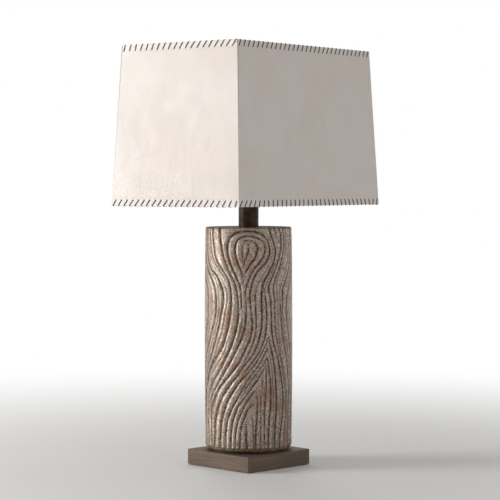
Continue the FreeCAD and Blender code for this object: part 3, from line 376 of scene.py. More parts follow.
def moulded_black():
    finish = Finish("moulded_black")
    skin = finish.cloud(finish.place(), 480.0, 3.0)
    bloom = finish.cloud(finish.place(), 46.0, 3.0)
    colour = finish.blend(finish.spread(bloom, 0.35, 0.7), srgb(30, 28, 27), srgb(46, 43, 41))
    return finish.surface(Base_Color=colour, Roughness=finish.spread(bloom, 0.3, 0.7, 0.3, 0.46),
                          Normal=finish.bump(skin, 0.00006, 0.5))


def pressed_card():
    finish = Finish("pressed_card")
    fibres = finish.cloud(finish.place((1, 1, 0.4)), 700.0, 4.0, 0.7, 0.8)
    colour = finish.blend(finish.spread(fibres, 0.34, 0.68),
                          srgb(150, 122, 90), srgb(176, 148, 112))
    return finish.surface(Base_Color=colour, Roughness=0.88,
                          Normal=finish.bump(fibres, 0.00015, 0.6))


def wool_felt():
    finish = Finish("wool_felt")
    fibres = finish.cloud(finish.place(), 900.0, 5.0, 0.75, 1.4)
    lumps = finish.cloud(finish.place(), 120.0, 3.0)
    colour = finish.blend(finish.spread(fibres, 0.36, 0.66), srgb(52, 42, 34), srgb(84, 70, 58))
    return finish.surface(Base_Color=colour, Roughness=0.95, Sheen_Weight=0.35,
                          Normal=finish.bump(finish.calc("ADD", fibres, lumps), 0.0006, 0.7))


def frosted_glass():
    finish = Finish("frosted_glass")
    etch = finish.cloud(finish.place(), 1400.0, 2.0)
    haze = finish.cloud(finish.place(), 30.0, 3.0)
    colour = finish.blend(finish.spread(haze, 0.35, 0.7), srgb(248, 247, 243), srgb(240, 238, 232))
    return finish.surface(Base_Color=colour, Transmission_Weight=0.35, IOR=1.5,
                          Roughness=finish.spread(etch, 0.3, 0.7, 0.32, 0.44),
                          Normal=finish.bump(etch, 0.00003, 0.3))


finishes = {
    "felt": wool_felt(),
    "oak": limed_oak(),
    "plain_wood": bare_wood(),
    "silvered_wood": silver_leaf(),
    "gilt_wood": rubbed_gilding(),
    "dark_bronze": dark_bronze(),
    "brass": turned_metal("satin_brass", srgb(206, 170, 104), srgb(160, 124, 70), 0.26, 900),
    "steel": turned_metal("zinc_plated_steel", srgb(188, 188, 184), srgb(150, 150, 148),
                          0.34, 700),
    "aluminium": turned_metal("bright_aluminium", srgb(214, 214, 214), srgb(184, 184, 184),
                              0.24, 800),
    "black_plastic": moulded_black(),
    "card": pressed_card(),
    "frosted_glass": frosted_glass(),
    "hide": pale_hide(),
    "lace": dark_lace(),
    "wire": painted_wire(),
}

for node_name, solid in nodes.items():
    solid.data.materials.clear()
    solid.data.materials.append(finishes[slot_of[node_name]])


# Making pieces

def finished_piece(name, bm, replaced, body, smooth=True):
    """Put a finished mesh in the scene in place of its CAD nodes."""
    mesh = bpy.data.meshes.new(name)
    bm.to_mesh(mesh)
    bm.free()
    piece = bpy.data.objects.new(name, mesh)
    bpy.context.scene.collection.objects.link(piece)
    slot_name = slot_of[replaced[0]]
    mesh.materials.append(finishes[slot_name])
    for face in mesh.polygons:
        face.use_smooth = smooth
    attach(piece, body)
    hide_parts(*replaced)
    return piece


def tube_skin(steps, heights):
    """An upright tube of radius 1, open at both ends, with a row of points at each height."""
    bm = bmesh.new()
    rows = len(heights) - 1
    bmesh.ops.create_grid(bm, x_segments=steps, y_segments=rows, size=0.5)
    for vert in bm.verts:
        turn = 2 * math.pi * (vert.co.x + 0.5)
        row = round((vert.co.y + 0.5) * rows)
        vert.co = (math.cos(turn), math.sin(turn), heights[row])
    bmesh.ops.remove_doubles(bm, verts=bm.verts[:], dist=1e-5)
    return bm


def open_rim(bm, level):
    """The edges of the open rim at a height."""
    return [edge for edge in bm.edges
            if edge.is_boundary and all(abs(vert.co.z - level) < 1e-6 for vert in edge.verts)]


def close_tube(bm, low, high, bore):
    """Turn both rims inward to the bore and join them by an inner wall."""
    inner_edges = []
    for level in (low, high):
        grown = bmesh.ops.extrude_edge_only(bm, edges=open_rim(bm, level))["geom"]
        for vert in grown:
            if isinstance(vert, bmesh.types.BMVert):
                scale = bore / math.hypot(vert.co.x, vert.co.y)
                vert.co = (vert.co.x * scale, vert.co.y * scale, level)
        inner_edges += [edge for edge in grown if isinstance(edge, bmesh.types.BMEdge)]
    bmesh.ops.bridge_loops(bm, edges=inner_edges)
    bmesh.ops.recalc_face_normals(bm, faces=bm.faces[:])


# The carving: each groove is a depth in millimetres and points (degrees round from the
# middle of the face that looks at the camera, millimetres up)

KNOT_GROOVES = [
    # the slit and the loops round it
    (2.9, [(-6, 385), (-7.1, 397), (-7.8, 410), (-7.6, 419), (-4, 424)]),
    (2.2, [(-4, 424), (-0.8, 422), (0, 415), (-1.7, 404), (-4.8, 395), (-6, 385)]),
    (1.6, [(-7.5, 377), (-7, 366), (-5.8, 357)]),
    (2.4, [(-10, 421), (-4, 429), (2, 429.5), (8, 425.5), (11.3, 418), (11.5, 410), (8.5, 397),
           (4, 389), (-0.6, 378), (-3.5, 371), (-5.8, 362)]),
    (3.2, [(-6.8, 356), (-10.1, 373.5), (-14.6, 390), (-17.8, 407), (-17.6, 418), (-14, 430),
           (-8, 436), (0, 437.5), (8, 436), (14, 432.5)]),
    (1.8, [(14, 432.5), (18.5, 428), (21.5, 422), (22.3, 411), (20.6, 402)]),
    (3.0, [(20.6, 402), (19.5, 398), (14.6, 388), (7.6, 376), (2.3, 363), (-1.2, 348.5),
           (-3.8, 335), (-4.5, 320)]),
    (3.2, [(-8.7, 300), (-9.4, 322), (-11.5, 345), (-15.7, 360), (-21, 375), (-26.2, 392),
           (-28.8, 408), (-28.2, 424), (-24, 436), (-16.9, 443), (-8, 446), (4, 446.5),
           (13, 443.5), (21, 437), (26, 426), (28.8, 413), (28, 401), (23, 388), (17, 380),
           (12, 373), (7, 360), (4, 348), (2, 335), (1.7, 322)]),
    # those that run down to the right of the knot
    (1.2, [(16, 451), (23, 444), (27.5, 435), (31.5, 424), (33.4, 408), (31, 392), (24, 375),
           (16, 358), (11, 343), (8.4, 328)]),
    (2.6, [(27.4, 456), (31, 440), (34, 430), (36.9, 418), (38.2, 407), (36, 392), (30.9, 377),
           (24, 361), (19.5, 349), (17.6, 335)]),
    (2.0, [(35, 456), (38.4, 444), (40, 434), (40.2, 428)]),
    (1.4, [(41.5, 402), (39.5, 392), (35, 379), (30, 366), (25, 352), (21.5, 338), (22.4, 322)]),
    (2.2, [(43, 456), (47, 443), (48.5, 432), (48.6, 416), (45, 398), (40, 382), (34, 364),
           (29, 350), (27.5, 335), (30.4, 316)]),
    (1.8, [(51, 456), (53.4, 440), (54, 424), (51, 402), (46, 384), (40, 366), (35.5, 350),
           (34, 335), (36.6, 318)]),
    (1.5, [(58, 456), (59, 432), (57.6, 412), (53, 393), (47, 376), (42, 361), (39.2, 345),
           (40.6, 326)]),
    (1.5, [(66, 456), (66, 425), (64, 400), (60, 378), (54, 360), (47, 345), (44.6, 328),
           (46.2, 308)]),
    (1.7, [(73, 456), (73.5, 420), (71, 392), (65, 370), (57, 352), (51, 337), (50.4, 318),
           (50, 292)]),
]

LEFT_GROOVES = [
    (1.8, [(-89, 456), (-88.5, 405), (-86, 378), (-79, 358), (-71, 343), (-67.6, 322),
           (-67, 292), (-70, 270), (-76, 252), (-83, 232), (-89.8, 205)]),
    (1.4, [(-85, 456), (-84, 405), (-80, 382), (-71, 362), (-63, 346), (-60.3, 322),
           (-60.4, 288), (-63.5, 266), (-69, 248), (-76, 229), (-82.5, 204), (-86, 172),
           (-87, 110), (-87, 40)]),
    (2.8, [(-81, 456), (-79.5, 410), (-76, 388), (-69, 372), (-58.8, 357), (-50, 334),
           (-47.8, 310), (-50, 283), (-54.1, 267), (-61, 246), (-69, 224), (-76.5, 203),
           (-81, 176), (-83, 140), (-83.5, 40)]),
    (1.4, [(-77, 456), (-75.5, 412), (-71.5, 387), (-63, 369), (-53, 362), (-45.5, 347),
           (-42.8, 328), (-41.5, 305), (-44, 283), (-49, 261), (-55, 243), (-62, 220),
           (-69, 202), (-75, 182), (-78.6, 150), (-79.6, 110), (-80, 40)]),
    (2.4, [(-73, 456), (-71.5, 416), (-67, 390), (-58, 373), (-48, 364), (-40.2, 348.5),
           (-35.3, 330), (-35.4, 311), (-38.6, 292), (-42.5, 268.5), (-48, 246), (-55.3, 222),
           (-62, 203), (-69, 184), (-74, 160), (-76.2, 125), (-76.5, 40)]),
    (1.4, [(-68, 456), (-66.8, 424), (-62, 403), (-53, 383.5), (-43, 366), (-33.2, 348.5),
           (-28.6, 332), (-28.4, 314), (-31, 296), (-35, 267), (-41, 244), (-48, 220),
           (-56, 198), (-64, 181), (-70, 160), (-72.6, 128), (-73, 40)]),
    (1.8, [(-62, 456), (-61, 425), (-57, 405), (-50.5, 389), (-43, 376), (-35, 364),
           (-28.8, 351)]),
    (2.6, [(-56.4, 456), (-55.9, 435), (-53, 413.5), (-48.9, 395), (-40, 378), (-30.8, 363.5),
           (-25, 346), (-22.8, 325), (-23.6, 300), (-26.5, 273), (-30.6, 252), (-36.7, 229),
           (-46, 212.5), (-54.1, 198.5), (-61, 186), (-66, 170), (-68.8, 152)]),
    (1.5, [(-27.4, 242), (-32, 223), (-37.8, 208.5), (-45.5, 196), (-54, 184), (-60, 170)]),
    (0.8, [(-47, 446), (-45.4, 428), (-42.3, 412), (-38.6, 398)]),
    (0.8, [(-43.6, 404), (-39.2, 396), (-34.9, 386), (-30.8, 376), (-26.2, 365), (-21, 352)]),
    (3.2, [(-41.9, 456), (-40.6, 432), (-37.3, 410), (-32, 390), (-25, 370), (-18, 350),
           (-14.5, 331), (-12.9, 306), (-14, 280), (-17.6, 256), (-22.5, 234), (-27.6, 219),
           (-34.7, 200), (-44.2, 180), (-54, 163), (-61.5, 146), (-66.4, 130), (-68, 100),
           (-67.4, 72), (-67.5, 40)]),
    (1.6, [(-8.6, 290), (-8.1, 279), (-10.4, 263), (-13.4, 248), (-15.4, 236)]),
    (2.8, [(-4.5, 321), (-3, 305), (-2.9, 290), (-4.8, 266), (-9.2, 246), (-15.7, 226),
           (-23.1, 205.5), (-31, 188), (-40.8, 167), (-50, 149), (-57.5, 134), (-62, 123)]),
]

MIDDLE_GROOVES = [
    (3.0, [(1.7, 322), (2.9, 305), (4.5, 284), (4.9, 266), (2.4, 246), (-3.5, 227),
           (-9.6, 207.5), (-17.5, 191.5), (-29.7, 171), (-40.3, 155.5), (-48.7, 137.6),
           (-55, 122), (-59.4, 107), (-60, 95), (-58.8, 80), (-58.7, 40)]),
    (1.2, [(-1.6, 257), (-4.6, 241)]),
    (1.8, [(8.4, 328), (8.8, 305), (9.5, 283), (9.5, 266), (7, 245), (2.2, 226), (-3.4, 209)]),
    (3.2, [(17.6, 335), (17.5, 305), (18.2, 285), (17, 266), (13.6, 243), (8.6, 224.5),
           (2, 210), (-6.5, 194.5), (-14, 177.5), (-21.7, 165), (-28.6, 151.5), (-37.6, 134.5),
           (-43.6, 117), (-48.2, 99.5), (-50.9, 84), (-51.4, 65), (-53, 40)]),
    (2.2, [(22.4, 322), (24, 298), (24, 280), (22.1, 252), (17.4, 232), (11, 215),
           (3.6, 199.5), (-2, 189.5), (-6.5, 181.5)]),
    (3.2, [(26.8, 249), (23.6, 236), (15, 214), (6.5, 195), (-2.2, 180), (-12.2, 165),
           (-21.2, 146.7), (-27.6, 131.5), (-33.2, 112), (-37.2, 96), (-39.6, 79),
           (-40.6, 60.5), (-41.5, 40)]),
    (2.8, [(26.8, 249), (29.3, 233), (32.7, 217), (35.4, 199), (37.2, 183), (38.4, 162),
           (39.6, 135), (39.6, 110), (38.3, 85), (37.4, 60), (37, 40)]),
    (2.3, [(24.8, 228), (20.8, 216), (15.6, 202), (9.2, 189), (2.4, 176), (-4, 161),
           (-10.1, 143.5), (-18.6, 124), (-25.4, 104), (-29.4, 88), (-31.5, 66), (-31.9, 40)]),
    (1.4, [(24.8, 228), (28.2, 215), (31.1, 197), (32.6, 176), (34, 150), (35, 115),
           (34.4, 85), (33.2, 40)]),
    (1.8, [(24.5, 209), (19.4, 198), (12.9, 187), (6.2, 174.5), (0.2, 163), (-5, 149),
           (-10.5, 135)]),
    (2.6, [(24.5, 209), (26.9, 196), (27.8, 180), (29.6, 164), (30.6, 146), (30.4, 124),
           (28.8, 102), (27.4, 80), (26.8, 40)]),
    (0.9, [(14.6, 183), (10.6, 176), (5, 165), (0.6, 155), (-4, 145)]),
    (2.4, [(22.6, 195), (17, 182), (11.6, 170), (5.8, 158), (-0.1, 147), (-6.5, 133.5),
           (-13.8, 119), (-18.8, 100), (-22, 83), (-23.4, 62), (-23.8, 40)]),
    (2.2, [(22.6, 195), (23.6, 178), (23.4, 158), (22.2, 132), (21, 105), (21.4, 70),
           (21.4, 40)]),
    (2.2, [(14.6, 158), (9, 150), (3, 140), (-2, 130), (-7, 114.5), (-12.6, 97), (-15.6, 80),
           (-17.2, 62), (-17.4, 40)]),
    (1.7, [(19, 181), (18.6, 172), (18.5, 161), (18.6, 148)]),
    (2.0, [(9.2, 126), (4, 121.5), (-1, 115), (-4.4, 102), (-8.4, 86), (-10.8, 66), (-11.7, 40)]),
    (3.0, [(-3.1, 88), (-3.5, 70), (-3, 56), (-1.9, 40)]),
    (1.6, [(4.8, 110), (5.4, 92), (6.3, 62), (6.6, 40)]),
    (1.9, [(10.5, 148), (11.3, 132), (11.9, 115), (10.9, 92), (9.8, 70), (9.6, 40)]),
    (1.7, [(15.4, 149), (16, 135), (16.3, 112), (16.1, 80), (16, 40)]),
]

RIGHT_GROOVES = [
    (2.8, [(30.4, 316), (31.4, 292), (32, 266), (34.3, 238.5), (40.2, 216.5), (44.6, 196),
           (48.2, 175), (51.2, 152), (52.8, 128), (52, 107), (49.6, 85), (46.6, 60), (46, 40)]),
    (1.7, [(36.6, 318), (36.2, 296), (37, 268.5), (40.2, 240), (45.2, 212), (50.2, 185),
           (55, 153), (57.8, 122), (56.8, 88), (53.4, 40)]),
    (1.6, [(40.6, 326), (41.4, 300), (43, 270), (45.4, 234), (49.6, 203), (55.6, 173),
           (60, 138), (61.6, 104), (59.6, 70), (58.6, 40)]),
    (1.7, [(46.2, 308), (48, 278), (51.2, 248), (57.6, 217), (63, 186), (66.2, 145),
           (65.8, 100), (64, 40)]),
    (1.3, [(43, 203), (44.2, 178), (46, 140), (45.6, 105), (43.2, 72), (42, 40)]),
    (1.5, [(50, 292), (54, 262), (59, 235), (65.5, 205), (70, 165), (71.2, 120), (69.6, 40)]),
    (1.7, [(80, 456), (81, 415), (78, 380), (71, 352), (63.5, 330), (58.8, 305), (62, 270),
           (68, 236), (74, 200), (77, 150), (76.6, 95), (75, 40)]),
    (1.5, [(87, 456), (88, 400), (85, 360), (78, 330), (69.5, 302), (70.5, 270), (77, 234),
           (82, 190), (83.4, 130), (81.5, 40)]),
    (1.0, [(89.6, 335), (84, 308), (78.5, 284), (82.5, 255), (89.6, 226)]),
    (0.8, [(89.8, 196), (89.4, 120), (88.6, 40)]),
]


def groove_run(points, step=0.5):
    """A smooth curve through a groove's points, as places (degrees, millimetres up)."""
    knots = [Vector(point) for point in points]
    ends = [knots[0] * 2 - knots[1], *knots, knots[-1] * 2 - knots[-2]]
    degree = math.radians(COLUMN_RADIUS)
    run = []
    for before, start, end, after in zip(ends, ends[1:], ends[2:], ends[3:]):
        length = math.hypot((end.x - start.x) * degree, end.y - start.y)
        count = max(int(length / step), 1)
        for number in range(count):
            t = number / count
            run.append(0.5 * (start * 2 + (end - before) * t
                              + (before * 2 - start * 5 + end * 4 - after) * t * t
                              + (start * 3 - before - end * 3 + after) * t ** 3))
    return run


def far_point(point):
    """The same point on the far half: the carving's mirror image, lower and a little swung."""
    angle, level = point
    drift = math.sin(math.pi * (level - COLUMN_BOTTOM) / (COLUMN_TOP - COLUMN_BOTTOM))
    swing = 4.0 * math.sin(math.radians(2 * angle)) * drift
    return Vector((180 - angle - swing, level - 13.0 * drift * math.cos(math.radians(angle))))


def on_column(point):
    angle = FRONT_ANGLE + math.radians(point[0])
    return Vector((COLUMN_RADIUS * math.cos(angle), COLUMN_RADIUS * math.sin(angle), point[1]))


def spot_tree(spots):
    tree = kdtree.KDTree(len(spots))
    for index, spot in enumerate(spots):
        tree.insert(spot, index)
    tree.balance()
    return tree


class Carving:
    """Every groove as close-set spots on the column.

    The main ones shape the ridges, and the fine ones score them."""

    def __init__(self):
        main = []
        fine = []
        grooves = KNOT_GROOVES + LEFT_GROOVES + MIDDLE_GROOVES + RIGHT_GROOVES
        ends = [point for _, points in grooves for point in (points[0], points[-1])]
        for depth, points in grooves:
            run = groove_run(points)
            start_free, end_free = (
                ends.count(point) == 1 and FREE_LEVELS[0] < point[1] < FREE_LEVELS[1]
                for point in (points[0], points[-1]))
            for number, point in enumerate(run):
                from_start = number if start_free else TAPER_STEPS
                from_end = len(run) - 1 - number if end_free else TAPER_STEPS
                share = min(0.3 + 0.7 * min(from_start, from_end) / TAPER_STEPS, 1.0)
                group = main if depth >= MAIN_DEPTH else fine
                for place in (point, far_point(point)):
                    group.append((on_column(place), depth * share))
        self.main = spot_tree([spot for spot, _ in main])
        self.main_depths = [depth for _, depth in main]
        self.fine = spot_tree([spot for spot, _ in fine])
        self.fine_depths = [depth for _, depth in fine]
        self.coarse = spot_tree([spot for spot, _ in main[::6] + main[1::6]])

    def ridge(self, place):
        """Distances to the nearest main groove and to the next beyond, and the first's depth."""
        spot, index, near = self.main.find(place)
        toward = spot - place
        far = max(2 * RIDGE_HALF - near, near)
        for other, _, reach in self.coarse.find_range(place, far):
            if reach < far and (other - place).dot(toward) < -0.25 * near * reach:
                far = reach
        return near, max(far, near), self.main_depths[index]

    def score(self, place):
        """Distance to the nearest fine groove, and its depth."""
        _, index, near = self.fine.find(place)
        return near, self.fine_depths[index]


def smooth_step(low, high, level):
    """0 up to low, 1 from high, and a smooth rise between."""
    share = min(max((level - low) / (high - low), 0.0), 1.0)
    return share * share * (3 - 2 * share)


def carved_here(carving, place):
    """At a place: how deep the cut is, how near a ridge's crown and how far from a groove."""
    near, far, depth = carving.ridge(place)
    share = near / (near + far)
    crown = (1 - (1 - 2 * share) ** 2) ** RIDGE_POWER
    cut = min(depth * MAIN_GAIN, RIDGE_STEEP * (near + far)) * (1 - crown)
    fine_near, fine_depth = carving.score(place)
    score = fine_depth * (1 - smooth_step(0.0, FINE_HALF, fine_near))
    cut += FINE_GAIN * score
    # Fine grooves lower the crown, which the colour reads as darker flanks: partly bole, partly
    # painted shade.
    crown *= 1 - 0.3 * score
    crown = 1 - (1 - crown) * min(depth / CROWN_DEPTH, 1)
    bottom = min(near + max(2.4 - depth, 0) * 0.4, fine_near + max(1.9 - fine_depth, 0) * 0.7)
    return cut, crown, bottom


def column_heights():
    """Heights above the column's foot: close together at both rims and at the ridges' feet."""
    rim = [0.0, 0.25, 0.9, 1.9, RIM_ROUND]
    foot = [3.6, 4.3, 5.0, 5.7, 6.4, 7.2, 8.0, 9.2]
    span = COLUMN_TOP - COLUMN_BOTTOM
    low = foot[-1]
    high = span - RIM_ROUND
    between = [low + (high - low) * row / COLUMN_ROWS for row in range(1, COLUMN_ROWS)]
    return rim + foot + between + [span - inset for inset in reversed(rim)]


def carved_column():
    """The column: rounded ridges between V grooves, above a plain rounded lip."""
    span = COLUMN_TOP - COLUMN_BOTTOM
    bm = tube_skin(COLUMN_STEPS, [COLUMN_BOTTOM + height for height in column_heights()])
    layers = {name: bm.verts.layers.float.new(name) for name in ("groove", "crown", "rim")}
    carving = Carving()
    for vert in bm.verts:
        level = vert.co.z
        place = Vector((vert.co.x * COLUMN_RADIUS, vert.co.y * COLUMN_RADIUS, level))
        cut, crown, bottom = carved_here(carving, place)
        above_lip = smooth_step(LIP_TOP, RIDGE_FOOT, level)
        bead = math.exp(-((level - RIDGE_FOOT - BEAD_RISE) / BEAD_SPREAD) ** 2) * crown
        cut = LIP_CUT + (cut - LIP_CUT) * above_lip - BEAD_HEIGHT * bead
        swell = COLUMN_SWELL * math.sin(math.pi * (level - COLUMN_BOTTOM) / span) ** 0.7
        sway = swell + noise.noise(place * 0.035) * 0.35 + noise.noise(place * 0.16) * 0.22
        inset = min(level - COLUMN_BOTTOM, COLUMN_TOP - level)
        if inset < RIM_ROUND:
            cut += RIM_ROUND - math.sqrt(RIM_ROUND ** 2 - (RIM_ROUND - inset) ** 2)
        radius = COLUMN_RADIUS - 0.5 - cut + sway
        vert.co = (place.x * radius / COLUMN_RADIUS, place.y * radius / COLUMN_RADIUS, level)
        vert[layers["groove"]] = bottom + 3 * (1 - above_lip)
        vert[layers["crown"]] = crown * above_lip
        olive = 0.42 * (1 - smooth_step(RIDGE_FOOT, RIDGE_FOOT + 40, level))
        vert[layers["rim"]] = max(1 - above_lip, smooth_step(COLUMN_TOP - 2.2, COLUMN_TOP, level),
                                  olive)
    close_tube(bm, COLUMN_BOTTOM, COLUMN_TOP, COLUMN_BORE)
    bmesh.ops.scale(bm, vec=(MM, MM, MM), verts=bm.verts[:])
    finished_piece("column_carving", bm, ["column_shell"], "lamp")


carved_column()


# Shade

def edge_rows():
    """Heights above a panel's bottom edge: close together where the lace pulls the hide."""
    close = [0.0, 0.5, 1.6, 3.0, 4.6, 6.4, 8.2, 9.8, 10.8, 11.6, 12.6, 14.0, 16.0, 19.0, 24.0]
    open_rows = 18
    gap = SHADE_HEIGHT - 2 * close[-1]
    middle = [close[-1] + gap * row / open_rows for row in range(1, open_rows)]
    return close + middle + [SHADE_HEIGHT - height for height in reversed(close)]


def panel_columns(across):
    """Places across a panel, from -1 to 1: even, and close together beside the corners."""
    close = [0.0, 0.6, 1.3, 2.2]
    count = 4 * stitch_count(2 * across)
    inner = [-across + 2 * across * number / count for number in range(1, count)]
    left = [place - across for place in close]
    right = [across - place for place in reversed(close)]
    return [place / across for place in left + inner + right]


def stitch_count(across):
    return round(across / STITCH_PITCH)


def lean_along(at_top, quarter, share):
    """How far a stitch leans to the right of upright, from a side's left end to its right end."""
    if quarter % 2:
        if at_top:
            return 3 + 4.4 * smooth_step(0.0, 0.7, share)
        return 8 - 4.5 * smooth_step(0.8, 1.0, share)
    if at_top:
        return 5.0
    return (8 - 7.5 * smooth_step(0.0, 0.22, share) - 4 * smooth_step(0.35, 0.8, share)
            + 6 * smooth_step(0.88, 1.0, share))


def hide_panel(name, node, out, across, quarter):
    """One side of the shade: hide drawn over the frame, pinched where each stitch goes in."""
    rows = edge_rows()
    columns = panel_columns(across)
    top_count = stitch_count(2 * (across - SHADE_TAPER))
    bottom_count = stitch_count(2 * across)
    bm = bmesh.new()
    bmesh.ops.create_grid(bm, x_segments=len(columns) - 1, y_segments=len(rows) - 1, size=0.5)
    pinch_layer = bm.verts.layers.float.new("pinch")
    seam_layer = bm.verts.layers.float.new("seam")
    hem_layer = bm.verts.layers.float.new("hem")
    bow = 1.6           # how far the hide's middle lies in
    swell = 0.8         # how far it stands out beside the hem
    pinch_deep = 0.5
    pinch_wide = 4.0
    seam_wide = 3.4
    seed = Vector((17.0 * quarter, 5.0, 0.0))
    for vert in bm.verts:
        side = columns[round((vert.co.x + 0.5) * (len(columns) - 1))]
        height = rows[round((vert.co.y + 0.5) * (len(rows) - 1))]
        fall = 1 - height / SHADE_HEIGHT
        half_across = across - SHADE_TAPER * (1 - fall)
        half_out = out - SHADE_TAPER * (1 - fall)
        from_edge = min(height, SHADE_HEIGHT - height)
        at_top = height > SHADE_HEIGHT / 2
        count = top_count if at_top else bottom_count
        lean = lean_along(at_top, quarter, (side + 1) / 2)
        along = (side + 1) / 2 * count + (lean if at_top else -lean) / 2 / STITCH_PITCH
        to_hole = math.hypot((along - math.floor(along) - 0.5) * STITCH_PITCH,
                             from_edge - STITCH_HOLE)
        pinch = max(1 - to_hole / pinch_wide, 0.0) ** 2
        inner = (1 - side * side) * math.sin(math.pi * height / SHADE_HEIGHT)
        slack = bow * inner + 0.5 * noise.noise(Vector((side * 3, height / 60, 0)) + seed) * inner
        step_out = swell * smooth_step(10, 17, from_edge) * (1 - smooth_step(35, 95, from_edge))
        inward = slack + pinch_deep * pinch - step_out * (1 - side ** 8)
        vert.co = (side * half_across, -half_out + inward, SHADE_TOP - SHADE_HEIGHT + height)
        # The pinch also darkens the colour there, as painted shade.
        vert[pinch_layer] = pinch
        # The seam value paints a shadow line beside the panel's left-hand corner, stronger towards
        # the top.
        from_corner = (1 - abs(side)) * half_across
        seam = max(1 - from_corner / seam_wide, 0.0) if side < 0 else 0.0
        vert[seam_layer] = seam * (0.45 + 0.55 * height / SHADE_HEIGHT)
        # The hem value paints a highlight along the laced band.
        vert[hem_layer] = 1 - smooth_step(10.5, 13.0, from_edge)
    grown = bmesh.ops.extrude_face_region(bm, geom=bm.faces[:])["geom"]
    for vert in grown:
        if isinstance(vert, bmesh.types.BMVert):
            vert.co.x *= 1 - HIDE / (across - SHADE_TAPER)
            vert.co.y += HIDE
    bmesh.ops.recalc_face_normals(bm, faces=bm.faces[:])
    corners = [edge for edge in bm.edges if edge.calc_face_angle() > math.radians(35)]
    bmesh.ops.bevel(bm, geom=corners, offset=0.2, segments=2, profile=0.5, affect="EDGES",
                    material=-1, clamp_overlap=True)
    bmesh.ops.scale(bm, vec=(MM, MM, MM), verts=bm.verts[:])
    turn = Matrix.Rotation(SHADE_TURN + math.radians(90 * quarter), 3, "Z")
    bmesh.ops.rotate(bm, cent=(0, 0, 0), matrix=turn, verts=bm.verts[:])
    piece = finished_piece(name, bm, [node], "shade")


long_half = SHADE_LONG / 2
short_half = SHADE_SHORT / 2
hide_panel("hide_front", "shade_panel_front", short_half, long_half, 0)
hide_panel("hide_right", "shade_panel_right", long_half, short_half, 1)
hide_panel("hide_back", "shade_panel_back", short_half, long_half, 2)
hide_panel("hide_left", "shade_panel_left", long_half, short_half, 3)


def lace_stitch(lean, pitch, is_last):
    """One whip stitch, from a hole up the outside, over the edge and the wire, to the next hole.

    Its own frame: x along the edge, y outward from the hide's face, z down from the edge."""
    half = lean / 2
    onward = half + 0.4 if is_last else pitch - half
    step = (onward - half) / 5
    route = [(-half, -0.9, STITCH_HOLE + 0.3), (-half, 0.28, STITCH_HOLE - 0.5),
             (-half / 2, 0.42, 8.0), (half / 2, 0.46, 3.2), (half, 0.34, 0.4),
             (half + 0.2, -0.55, -0.42), (half + step, -2.2, 0.1),
             (half + 2 * step, -4.7, 1.1), (half + 3 * step, -5.75, 3.2),
             (half + 4 * step, -4.6, 6.0), (onward, -1.85, STITCH_HOLE - 1.2),
             (onward, -1.5, STITCH_HOLE + 0.3)]
    places = [Vector(point) for point in route]
    bm = bmesh.new()
    bmesh.ops.create_grid(bm, x_segments=1, y_segments=1, size=0.5)
    face = bm.faces[:][0]
    section = [(vert.co.x * LACE_WIDTH, vert.co.y * LACE_THICK) for vert in face.verts]
    for number, place in enumerate(places):
        if number == 1:
            grown = bmesh.ops.extrude_face_region(bm, geom=[face])["geom"]
            face = next(item for item in grown if isinstance(item, bmesh.types.BMFace))
        elif number:
            face = bmesh.ops.extrude_discrete_faces(bm, faces=[face])["faces"][0]
        along = places[min(number + 1, len(places) - 1)] - places[max(number - 1, 0)]
        lift = Vector((0, along.z, -along.y)).normalized()
        sideways = along.cross(lift).normalized()
        for vert, (wide, thick) in zip(face.verts, section):
            vert.co = place + sideways * wide + lift * thick
    pattern = bpy.data.meshes.new("lace_stitch")
    bm.to_mesh(pattern)
    bm.free()
    return pattern


def lacing(name, node, level, at_top):
    """All the stitches along one edge of the shade."""
    dice = random.Random(name)
    whole = bmesh.new()
    upward = 1 if at_top else -1
    trim = SHADE_TAPER if at_top else 0.0
    tip = Matrix.Rotation(-math.atan(SHADE_TAPER / SHADE_HEIGHT), 4, "X")
    stand = Matrix.Diagonal((1, -1, -upward, 1))
    for quarter in range(4):
        spans = (short_half, long_half) if quarter % 2 == 0 else (long_half, short_half)
        out, across = (span - trim for span in spans)
        count = stitch_count(2 * across)
        pitch = 2 * across / count
        turn = Matrix.Rotation(SHADE_TURN + math.radians(90 * quarter), 4, "Z")
        for number in range(count):
            share = (number + 0.5) / count
            lean = lean_along(at_top, quarter, share) + dice.uniform(-0.7, 0.7)
            pattern = lace_stitch(lean * upward, pitch, number == count - 1)
            fresh = len(whole.verts)
            whole.from_mesh(pattern)
            bpy.data.meshes.remove(pattern)
            place = 2 * across * (share - 0.5) + dice.uniform(-0.35, 0.35)
            spot = Matrix.Translation((place, -out, level))
            bmesh.ops.transform(whole, matrix=turn @ spot @ tip @ stand,
                                verts=whole.verts[fresh:])
    bmesh.ops.scale(whole, vec=(MM, MM, MM), verts=whole.verts[:])
    bmesh.ops.recalc_face_normals(whole, faces=whole.faces[:])
    finished_piece(name, whole, [node], "shade", smooth=False)


lacing("lace_top", "lacing_top", SHADE_TOP, True)
lacing("lace_bottom", "lacing_bottom", SHADE_TOP - SHADE_HEIGHT, False)


# Bulb's cap, with its rolled thread

